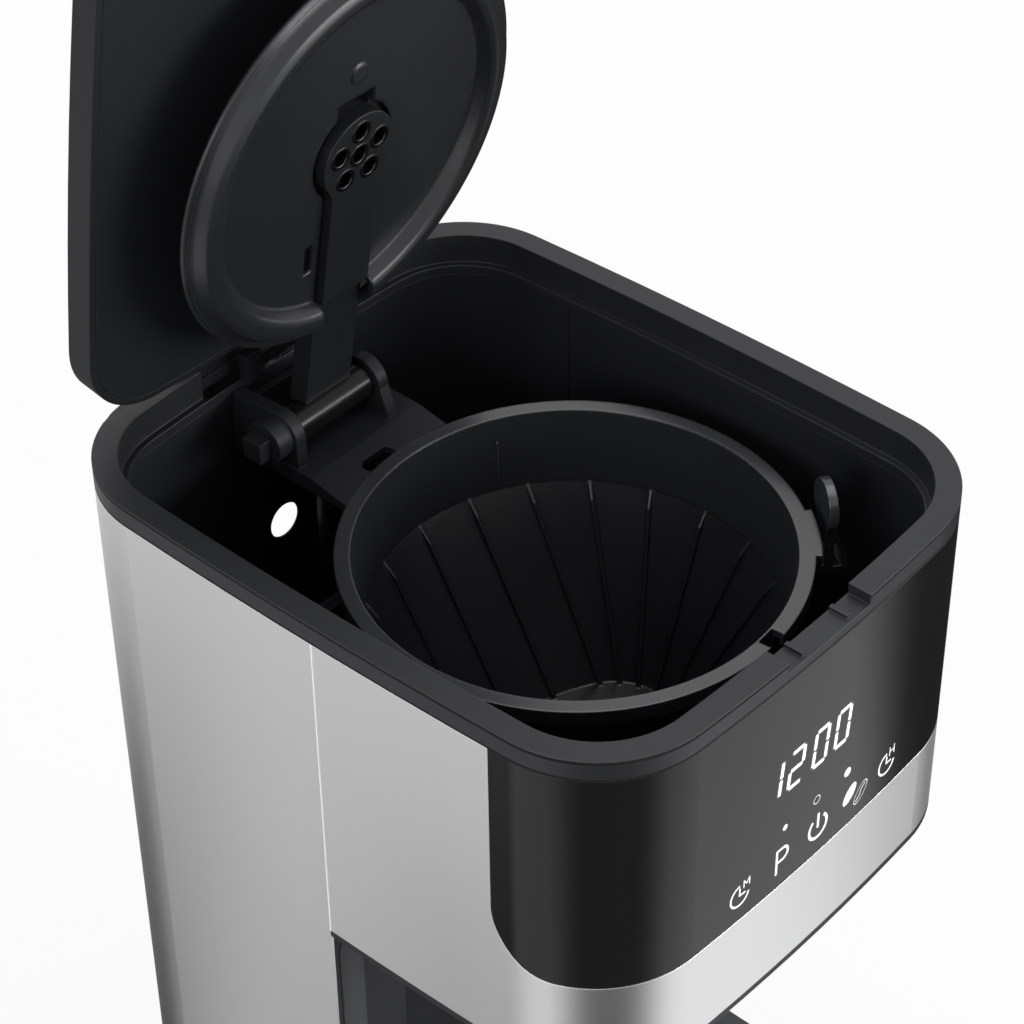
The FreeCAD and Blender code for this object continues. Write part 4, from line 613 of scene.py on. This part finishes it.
# %% Lamp dots and beans
BEAN_TILT = 49
BEAN_CREASE = [(19.3, -79.6), (21.0, -78.2), (21.5, -77.0), (22.2, -76.0), (23.6, -75.0)]
marks += [dot((-15.2, TOP - 63.5), 2.1), arc((-0.75, TOP - 63.5), 1.45, 0, 0, 0.22)]
marks += [dot((13.8, TOP - 63.6), 3.2), dot((15.8, TOP - 73.9), 8.1, 4.4, BEAN_TILT)]
outline = arc((0, 0), 4.1, 0, 0, 0.3)
outline.scale = (1.0, 0.5, 1.0)
outline.rotation_euler = (0, 0, math.radians(BEAN_TILT))
outline.location = (21.5 * MM, (TOP - 77.3) * MM, 0)
crease = [(x, TOP + drop) for x, drop in BEAN_CREASE]
marks += [outline] + [stroke(a, b, 0.35) for a, b in zip(crease, crease[1:])]
print("strokes in the marks", len(marks))

# %% [markdown]
# A clock of this kind has seven bars to a digit, named A to G from the top round to the middle. Only
# the bars that are lit are drawn, leaning a little and cut short so that they don't touch. The same
# bars, drawn wider, stand behind them for the glow that spreads in the pane.

# %% Digits of the clock
DIGIT_BARS = {"1": "BC", "2": "ABGED", "0": "ABCDEF"}
BAR_ENDS = {"A": ("TL", "TR"), "B": ("TR", "MR"), "C": ("MR", "BR"), "D": ("BL", "BR"), "E": ("ML", "BL"),
            "F": ("TL", "ML"), "G": ("ML", "MR")}
DIGIT_PLACES = (-21.3, -11.7, -0.6, 9.6)
DIGIT_HEIGHT = TOP - 42.65
BAR_WIDTH = 1.15
GLOW_WIDTH = 2.1


def digit(sign, x, z, width, wide=5.7, tall=12.6, slant=0.105, gap=0.95):
    """Lit bars of one digit about its centre."""
    rows = {"T": tall / 2, "M": 0.0, "B": -tall / 2}
    sides = {"L": -wide / 2, "R": wide / 2}
    corner = lambda end: Vector((x + sides[end[1]] + slant * rows[end[0]], z + rows[end[0]]))
    bars = []
    for bar in DIGIT_BARS[sign]:
        a, b = (corner(end) for end in BAR_ENDS[bar])
        short = (b - a).normalized() * gap
        bars.append(segment(a + short, b - short, width))
    return bars


digits, glow = [], []
for sign, x in zip("1200", DIGIT_PLACES):
    digits += digit(sign, x, DIGIT_HEIGHT, BAR_WIDTH)
    glow += digit(sign, x, DIGIT_HEIGHT, GLOW_WIDTH)
print("lit bars", len(digits), "and as many wider ones for the glow behind them")

# %% [markdown]
# The pane is bowed, so a flat drawing would sink into it at the middle or float at the ends. The
# drawing is stood upright a little way in front of the pane and then shrink-wrapped straight back on
# to it, and Solidify gives it the few hundredths of a millimetre that ink has.

# %% Drawings on to the pane
STAND_OFF = 5 * MM
INK_BITE = 0.01 * MM


def print_on_pane(strokes, name, finish, lift=0.06 * MM):
    bpy.ops.object.select_all(action="DESELECT")
    for item in strokes:
        item.select_set(True)
    bpy.context.view_layer.objects.active = strokes[0]
    apply_place()
    bpy.ops.object.join()
    sheet = bpy.context.object
    sheet.name = name
    sheet.rotation_euler = (math.pi / 2, 0, 0)
    sheet.location = (0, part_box("control_panel")[0].y - STAND_OFF, 0)
    apply_place()
    use("SHRINKWRAP", target=nodes["control_panel"], wrap_method="PROJECT", use_project_y=True,
        use_positive_direction=True, offset=lift)
    use("SOLIDIFY", thickness=lift - INK_BITE, offset=-1.0)
    settle(sheet, "body", finish)
    return sheet


def ink(name, level, strength):
    """White that gives off light at the given strength, brighter in some places than in others. On the printed
    marks, which are no lamp, this is a painted glow.
    """
    material, start = start_finish(name)
    mottle = start.node("TexNoise", {}, {"Vector": object_place(start), "Scale": 900.0, "Detail": 2.0})
    shade = blend(mottle, grey(level * 0.92), grey(level))
    close_finish(start, {"Base Color": shade, "Roughness": 0.4 + mottle * 0.1, "Emission Color": shade,
                         "Emission Strength": strength})
    return material


# The printed marks glow faintly: a painted glow, since the ink is no lamp.
panel_marks = print_on_pane(marks, "panel_marks", ink("mark_white_painted_glow", 0.8, 0.2))
clock_glow = print_on_pane(glow, "clock_glow", ink("glow_grey", 0.10, 0.5), 0.03 * MM)
clock_digits = print_on_pane(digits, "clock_digits", ink("digit_white", 0.95, 1.0))
for sheet in (panel_marks, clock_glow, clock_digits):
    print(sheet.name, len(sheet.data.polygons), "faces")

# %% [markdown]
# Each spray hole is lined with a small flanged bush in gloss black, whose rim catches the light. One
# is made under the middle hole with the cover shut, where its place is easy to state: a circle is
# extruded outwards to a flange, its inner edge is extruded up into the hole, and the sheet is then
# thickened and rounded.

# %% One spray bush
BUSH_BORE = 2.7 * MM
BUSH_FLANGE = 3.8 * MM
BUSH_DEPTH = 2.4 * MM
BUSH_WALL = 0.5 * MM
BUSH_ROUND = 0.2 * MM
HEAD_CENTRE = Vector((0, -19.3, 317.3)) * MM
bush = add("circle", "spray_bush_0", vertices=32, radius=BUSH_BORE, fill_type="NOTHING", location=HEAD_CENTRE)
bpy.ops.object.mode_set(mode="EDIT")
bpy.ops.mesh.select_all(action="SELECT")
bpy.ops.mesh.extrude_edges_move()
widen = BUSH_FLANGE / BUSH_BORE
bpy.ops.transform.resize(value=(widen, widen, 1), center_override=HEAD_CENTRE)
pick("edges", lambda p: 0.98 * BUSH_BORE < (p - HEAD_CENTRE).length < 1.01 * BUSH_BORE)
bpy.ops.mesh.extrude_edges_move()
bpy.ops.transform.translate(value=(0, 0, BUSH_DEPTH))
bpy.ops.mesh.select_all(action="SELECT")
bpy.ops.mesh.normals_make_consistent(inside=False)
bpy.ops.object.mode_set(mode="OBJECT")
use("SOLIDIFY", thickness=BUSH_WALL, offset=0.0)
use("BEVEL", width=BUSH_ROUND, segments=3, limit_method="ANGLE")
apply_place()
print("bush", len(bush.data.polygons), "faces")

# %% [markdown]
# The cover has a ring of holes round the middle one. An Array modifier could place the copies, but it
# would leave them one object; copies moved by a matrix are pieces with names of their own. All are
# then swung open about the swivel, as the cover is.

# %% Bushes in their holes
OUTER_HOLES = 5
HOLE_CIRCLE = 8.2 * MM
SWIVEL = Vector((0, 80.5, 321.1)) * MM
OPEN_ANGLE = math.radians(-80.4)
swing = Matrix.Translation(SWIVEL) @ Matrix.Rotation(OPEN_ANGLE, 4, "X") @ Matrix.Translation(-SWIVEL)
bushes = [bush]
for i in range(OUTER_HOLES):
    angle = 2 * math.pi * i / OUTER_HOLES - math.pi / 2
    away = Vector((math.cos(angle), math.sin(angle), 0)) * HOLE_CIRCLE
    bushes.append(copy_of(bush, f"spray_bush_{i + 1}", Matrix.Translation(away)))
for piece in bushes:
    piece.data.transform(swing)
    settle(piece, "spray_cover", nozzle_black, smooth=40)
print("bushes", len(bushes), "middle at", [round(v / MM, 1) for v in swing @ HEAD_CENTRE])

# %% [markdown]
# On the filter's upright band stands one fine moulded line, the fill mark. Two rays from the filter's
# axis find the wall at the line's ends, and a slim block is stood between them with its inner edges
# bevelled round.

# %% Fill mark
FILTER_AXIS = Vector((0, -19.3, 0)) * MM
MARK_HEADING = math.radians(62.2)
MARK_HEIGHTS = (295.5 * MM, 311.0 * MM)
MARK_DEPTH = 1.0 * MM
MARK_WIDTH = 0.7 * MM
outward = Vector((math.cos(MARK_HEADING), math.sin(MARK_HEADING), 0))
origins = [FILTER_AXIS + Vector((0, 0, z)) for z in MARK_HEIGHTS]
foot, head = (nodes["filter_basket"].ray_cast(origin, outward)[1] for origin in origins)
along = head - foot
facing = outward.cross(along).normalized()
stance = Matrix((facing.cross(along.normalized()), facing, along.normalized())).transposed()
mark = add("cube", "fill_mark", size=1.0, location=(foot + head) / 2, rotation=stance.to_euler(),
           scale=(MARK_DEPTH, MARK_WIDTH, along.length))
apply_place()
bpy.ops.object.mode_set(mode="EDIT")
pick("edges", lambda p: (p - (foot + head) / 2).dot(outward) < -MARK_DEPTH / 10)
bpy.ops.mesh.bevel(offset=0.15 * MM, segments=3)
bpy.ops.object.mode_set(mode="OBJECT")
settle(mark, "body", handle_black, smooth=50)
print("fill mark", round(along.length / MM, 1), "mm long, wall at", [round(v / MM, 1) for v in foot])

# %% [markdown]
# The drip valve's spring is drawn round wire. The imported model holds its place with a plain coil, so
# a finer one takes over: a small circle is stood upright beside the axis and the Screw modifier winds
# it up three turns, and its ends are closed.

# %% Valve spring
SPRING_WIRE = 0.9 * MM
SPRING_TURNS = 3
STEPS_PER_TURN = 40
coil_low, coil_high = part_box("drip_valve_spring")
coil_radius = (coil_high.x - coil_low.x - SPRING_WIRE) / 2
pitch = (coil_high.z - coil_low.z - SPRING_WIRE) / SPRING_TURNS
base = Vector((0, (coil_low.y + coil_high.y) / 2, coil_low.z + SPRING_WIRE / 2))
spring = add("circle", "valve_spring", vertices=12, radius=SPRING_WIRE / 2, fill_type="NOTHING", location=base)
bpy.ops.object.mode_set(mode="EDIT")
bpy.ops.mesh.select_all(action="SELECT")
bpy.ops.transform.rotate(value=math.pi / 2, orient_axis="X", center_override=base)
bpy.ops.transform.translate(value=(coil_radius, 0, 0))
bpy.ops.object.mode_set(mode="OBJECT")
use("SCREW", axis="Z", angle=2 * math.pi, screw_offset=pitch, iterations=SPRING_TURNS, steps=STEPS_PER_TURN,
    render_steps=STEPS_PER_TURN)
bpy.ops.object.mode_set(mode="EDIT")
bpy.ops.mesh.select_all(action="SELECT")
bpy.ops.mesh.remove_doubles(threshold=0.01 * MM)
bpy.ops.mesh.fill_holes(sides=0)
bpy.ops.mesh.normals_make_consistent(inside=False)
bpy.ops.object.mode_set(mode="OBJECT")
settle(spring, "body", plated_steel, smooth=50)
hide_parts("drip_valve_spring")
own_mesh(spring)

# %% [markdown]
# Where the tower's sheet meets the head's sheet, the two folded edges stand side by side and shine as
# one thin bright line. A slim block, with its long edges rounded over, closes the joint on each side;
# its steel is painted near white, so the line's brightness is partly a painted highlight.

# %% Seam beads
BEAD_DEPTH = 0.8 * MM
BEAD_WIDTH = 0.56 * MM
BEAD_SINK = 0.25 * MM
BEAD_ROUND = 0.2 * MM
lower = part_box("head_cladding")[0].z
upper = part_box("head_cladding")[1].z
seam_y = (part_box("head_cladding")[1].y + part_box("side_cladding_left")[0].y) / 2


def seam_bead(name, face_x, side):
    bead = add("cube", name, size=1.0, location=(face_x - side * BEAD_SINK, seam_y, (lower + upper) / 2),
               scale=(BEAD_DEPTH, BEAD_WIDTH, upper - lower))
    apply_place()
    bpy.ops.object.mode_set(mode="EDIT")
    pick("edges", lambda p: (p.x - face_x) * side > 0 and lower + MM < p.z < upper - MM)
    bpy.ops.mesh.bevel(offset=BEAD_ROUND, segments=3)
    bpy.ops.object.mode_set(mode="OBJECT")
    settle(bead, "body", painted_bright_bead_steel, smooth=50)
    return bead


beads = [seam_bead("seam_bead_left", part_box("side_cladding_left")[0].x, -1),
         seam_bead("seam_bead_right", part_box("side_cladding_right")[1].x, 1)]
print("beads", [b.name for b in beads], "height", round((upper - lower) / MM, 1), "mm")

# %% [markdown]
# On each side of the jug's recess a flat trim strip with a rounded outer corner stands on the tower's
# front. One is cut from a thin block: the corner edge is bevelled to a wide radius, the front edges to
# a small one, and the other side gets a mirrored copy with its faces turned right again.

# %% Bay trims
TRIM_OUTER = -87.0 * MM
TRIM_INNER = -77.5 * MM
TRIM_FOOT = 43.0 * MM
TRIM_HEAD = 212.5 * MM
TRIM_PROUD = 0.6 * MM
TRIM_CORNER = 5.0 * MM
TRIM_ROUND = 0.25 * MM
NEAR = 0.1 * MM
tower_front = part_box("tower_housing")[0].y
trim_middle = ((TRIM_OUTER + TRIM_INNER) / 2, tower_front - TRIM_PROUD / 2, (TRIM_FOOT + TRIM_HEAD) / 2)
trim = add("cube", "bay_trim_left", size=1.0, location=trim_middle,
           scale=(TRIM_INNER - TRIM_OUTER, TRIM_PROUD, TRIM_HEAD - TRIM_FOOT))
apply_place()
bpy.ops.object.mode_set(mode="EDIT")
pick("edges", lambda p: p.x < TRIM_OUTER + NEAR and p.z > TRIM_HEAD - NEAR)
bpy.ops.mesh.bevel(offset=TRIM_CORNER, segments=10)
pick("edges", lambda p: p.y < tower_front - 0.9 * TRIM_PROUD)
bpy.ops.mesh.bevel(offset=TRIM_ROUND, segments=2)
bpy.ops.object.mode_set(mode="OBJECT")
trims = [trim, copy_of(trim, "bay_trim_right", Matrix.Scale(-1, 4, (1, 0, 0)))]
trims[1].data.flip_normals()
for piece in trims:
    settle(piece, "body", bay_grey, smooth=35)
print("trims", [piece.name for piece in trims], "on the wall at y", round(tower_front / MM, 2), "mm")

# %% [markdown]
# The rear cover and the base plate are held by cross-headed screws. One pan head is made from a
# cylinder whose top is inset and raised twice, so it is domed; two crossed bars, tapered to their
# ends, are taken out of it for the driver.

# %% One screw
SCREW_RADIUS = 3.1 * MM
SCREW_DEPTH = 1.4 * MM
SCREW_PROUD = 1.2 * MM
DOME_STEPS = ((0.45 * MM, 0.3 * MM), (0.9 * MM, 0.25 * MM))
DRIVER_BAR = (3.8 * MM, 0.85 * MM, 1.6 * MM)
DRIVER_FLOOR = 0.6 * MM
screw = add("cylinder", "screw", vertices=32, radius=SCREW_RADIUS, depth=SCREW_DEPTH,
            location=(0, 0, SCREW_PROUD - SCREW_DEPTH / 2))
bpy.ops.object.mode_set(mode="EDIT")
for inset, lift in DOME_STEPS:
    pick("faces", lambda p: p.z > SCREW_PROUD - NEAR and math.hypot(p.x, p.y) < NEAR)
    bpy.ops.mesh.inset(thickness=inset)
    bpy.ops.transform.translate(value=(0, 0, lift))
bpy.ops.object.mode_set(mode="OBJECT")
apply_place()
cutters = []
for turn in (0, math.pi / 2):
    bar = add("cube", "driver_bar", size=1.0, location=(0, 0, DRIVER_FLOOR + DRIVER_BAR[2] / 2),
              rotation=(0, 0, turn), scale=DRIVER_BAR)
    bpy.ops.object.mode_set(mode="EDIT")
    pick("faces", lambda p: p.z < DRIVER_FLOOR + NEAR)
    bpy.ops.transform.resize(value=(0.5, 0.5, 1), center_override=(0, 0, DRIVER_FLOOR))
    bpy.ops.object.mode_set(mode="OBJECT")
    apply_place()
    cutters.append(bar)
bpy.ops.object.select_all(action="DESELECT")
screw.select_set(True)
bpy.context.view_layer.objects.active = screw
for bar in cutters:
    use("BOOLEAN", object=bar, operation="DIFFERENCE", solver="EXACT")
    bpy.data.objects.remove(bar, do_unlink=True)
print("screw faces", len(screw.data.polygons))

# %% [markdown]
# Copies of the screw are turned to the faces that they hold: four on the bowed rear cover, where each
# leans with the bow, and five under the base plate. Each is also turned about its own axis, because no
# two screws stop at the same angle.

# %% Screws in place
BOW_RADIUS = 912 * MM
REAR_SCREWS = [(x * MM, z * MM) for x in (-44, 44) for z in (54, 318)]
PLATE_SCREWS = [(-70, -28), (70, -28), (-70, 45), (70, 45), (0, 88)]
TURN_EACH = 0.7
rear_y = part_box("rear_cover")[1].y
plate_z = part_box("base_plate")[0].z
places = []
for x, z in REAR_SCREWS:
    lean = math.asin(x / BOW_RADIUS)
    at = Vector((x, rear_y - BOW_RADIUS * (1 - math.cos(lean)), z))
    turn = Matrix.Rotation(-lean, 4, "Z") @ Matrix.Rotation(-math.pi / 2, 4, "X")
    places.append(Matrix.Translation(at) @ turn)
for x, y in PLATE_SCREWS:
    places.append(Matrix.Translation((x * MM, y * MM, plate_z)) @ Matrix.Rotation(math.pi, 4, "X"))
for i, place in enumerate(places):
    twin = copy_of(screw, f"screw_{i + 1}", place @ Matrix.Rotation(TURN_EACH * i, 4, "Z"))
    settle(twin, "body", plated_steel, smooth=30)
bpy.data.objects.remove(screw, do_unlink=True)
print("screws", len(places))

# %% [markdown]
# The stage is a pale floor that runs up into the white of the world. Camera, mirror and glass rays
# see it nearly white, and wholly white further off, so that no edge shows against the world; other
# rays meet a real floor, so it takes the machine's shadow.

# %% Floor
FLOOR_SIZE = 8.0
WHITE_NEAR = 0.86
FADE_FROM, FADE_TO = 0.2, 1.4


def seen_rays(start):
    """1 for camera, mirror and glass rays."""
    kinds = ("Is Camera Ray", "Is Glossy Ray", "Is Transmission Ray")
    by_camera, by_mirror, by_glass = (start.node("LightPath", output=kind) for kind in kinds)
    return start.node("Clamp", {}, {"Value": by_camera + by_mirror + by_glass})


floor = add("plane", "floor", size=FLOOR_SIZE, location=(0, 0, 0))
floor_finish, start = start_finish("floor_finish")
place = object_place(start)
shade = start.node("TexNoise", {}, {"Vector": place, "Scale": 3.0})
reach = start.node("VectorMath", {"operation": "LENGTH"}, {0: place}, output="Value")
further = ramp_up(reach, FADE_FROM, FADE_TO, "SMOOTHSTEP")
white = seen_rays(start) * (WHITE_NEAR + further * (1 - WHITE_NEAR))
pale = blend(shade, grey(0.80), grey(0.82))
matt = start.node("BsdfPrincipled", {}, {"Base Color": pale, "Roughness": 0.9})
lit = start.node("Emission", {}, {"Color": (1, 1, 1, 1), "Strength": 1.0})
mixed = start.node("MixShader", {}, {0: white, 1: matt, 2: lit})
start.node("OutputMaterial", {}, {"Surface": mixed})
floor.data.materials.append(floor_finish)
print("floor", FLOOR_SIZE, "m across")

# %% [markdown]
# Seen from above, upright steel mirrors the floor, so what lies around the machine shows in it.
# Photographers lay black cards there to draw dark upright stripes on rounded corners. Here five soft
# dark patches on one clear sheet paint such dark reflections, and only mirror rays see the sheet.
# The three that reach far stand for black cards; the two that fade out close to the machine paint
# the machine's shadow on the floor as the steel would mirror it. Each patch is a wedge that opens
# from a corner of the machine: it has a heading, a dark core, a soft edge, two distances between
# which it fades out, and a darkness.

# %% Dark cards
CARD_SIZE = 3.0
CARD_HEIGHT = 1.0 * MM
DARKEST = 0.985
PAINTED_DARK_PATCHES = [  # corner, heading, core and edge in degrees, near and far in metres, darkness
    ((-0.070, -0.095, 0), 233, 17, 57, 2.0, 3.0, 0.93),
    ((-0.070, -0.095, 0), 139, 2, 10, 2.0, 3.0, 0.5),
    ((-0.090, 0.050, 0), 150, 50, 75, 0.08, 0.38, 0.5),
    ((-0.085, 0.095, 0), 68, 52, 76, 0.15, 0.62, 0.985),
    ((0.070, -0.105, 0), 14, 42, 53, 2.0, 3.0, 0.985),
]
# The sheet paints dark reflections in the steel; the two patches that fade out near the machine are a painted
# shadow of the machine on the floor.
painted_reflection_sheet = add("plane", "painted_reflection_sheet", size=CARD_SIZE, location=(0, 0, 0))
bpy.ops.object.mode_set(mode="EDIT")
bpy.ops.transform.translate(value=(0, 0, CARD_HEIGHT))
bpy.ops.object.mode_set(mode="OBJECT")
painted_reflection_finish, start = start_finish("painted_reflection_finish")
place = object_place(start)
dark = 0.0
for corner, heading, core, edge, near, far, darkness in PAINTED_DARK_PATCHES:
    away = start.node("VectorMath", {"operation": "SUBTRACT"}, {0: place, 1: corner})
    distance = start.node("VectorMath", {"operation": "LENGTH"}, {0: away}, output="Value")
    way = start.node("VectorMath", {"operation": "NORMALIZE"}, {0: away})
    turn = math.radians(heading)
    facing = dot_of(start, way, (math.cos(turn), math.sin(turn), 0))
    wedge = ramp_up(facing, math.cos(math.radians(edge)), math.cos(math.radians(core)), "SMOOTHSTEP")
    dark = dark + wedge * (1 - ramp_up(distance, near, far, "SMOOTHSTEP")) * darkness
dark = start.node("Clamp", {}, {"Value": dark, "Max": DARKEST})
clear = start.node("BsdfTransparent")
black = {"Base Color": grey(0.004), "Roughness": 1.0, "Specular IOR Level": 0.0}
cloth = start.node("BsdfPrincipled", {}, black)
mixed = start.node("MixShader", {}, {0: dark, 1: clear, 2: cloth})
start.node("OutputMaterial", {}, {"Surface": mixed})
painted_reflection_sheet.data.materials.append(painted_reflection_finish)
for rays in ("camera", "diffuse", "transmission", "shadow", "volume_scatter"):
    setattr(painted_reflection_sheet, "visible_" + rays, False)
print("dark cards", len(PAINTED_DARK_PATCHES))

# %% [markdown]
# The world is white to the camera and in mirrors, and lights the machine at less than half of that, so
# the black plastics keep their depth. Three soft boxes do the modelling: a large one overhead, one
# from the left for the lid's edge, and a wide low one in front for the panel and the steel band.

# %% World and soft boxes
AMBIENT = 0.45
SOFT_BOXES = {  # place, point looked at, width and height in metres, watts
    "top_box": ((0.1, 0.1, 1.9), (0, 0, 0.3), (1.4, 1.4), 15),
    "left_box": ((-1.5, -0.1, 0.8), (0, 0, 0.3), (1.0, 0.9), 10),
    "front_box": ((0.8, -1.5, 0.6), (0, 0, 0.35), (1.5, 0.5), 26),
}
world = bpy.data.worlds.new("studio")
bpy.context.scene.world = world
world.use_nodes = True
world.node_tree.nodes.clear()
start = Sock(world.node_tree)
strength = AMBIENT + seen_rays(start) * (1 - AMBIENT)
sky = start.node("Background", {}, {"Color": (1, 1, 1, 1), "Strength": strength})
start.node("OutputWorld", {}, {"Surface": sky})
bpy.context.scene.view_settings.view_transform = "Standard"
for name, (at, look, size, watts) in SOFT_BOXES.items():
    bpy.ops.object.select_all(action="DESELECT")
    bpy.ops.object.light_add(type="AREA", location=at)
    lamp = bpy.context.object
    lamp.name = name
    lamp.data.shape = "RECTANGLE"
    lamp.data.size, lamp.data.size_y = size
    lamp.data.energy = watts
    lamp.rotation_euler = (Vector(look) - Vector(at)).to_track_quat("-Z", "Y").to_euler()
print("soft boxes", list(SOFT_BOXES))
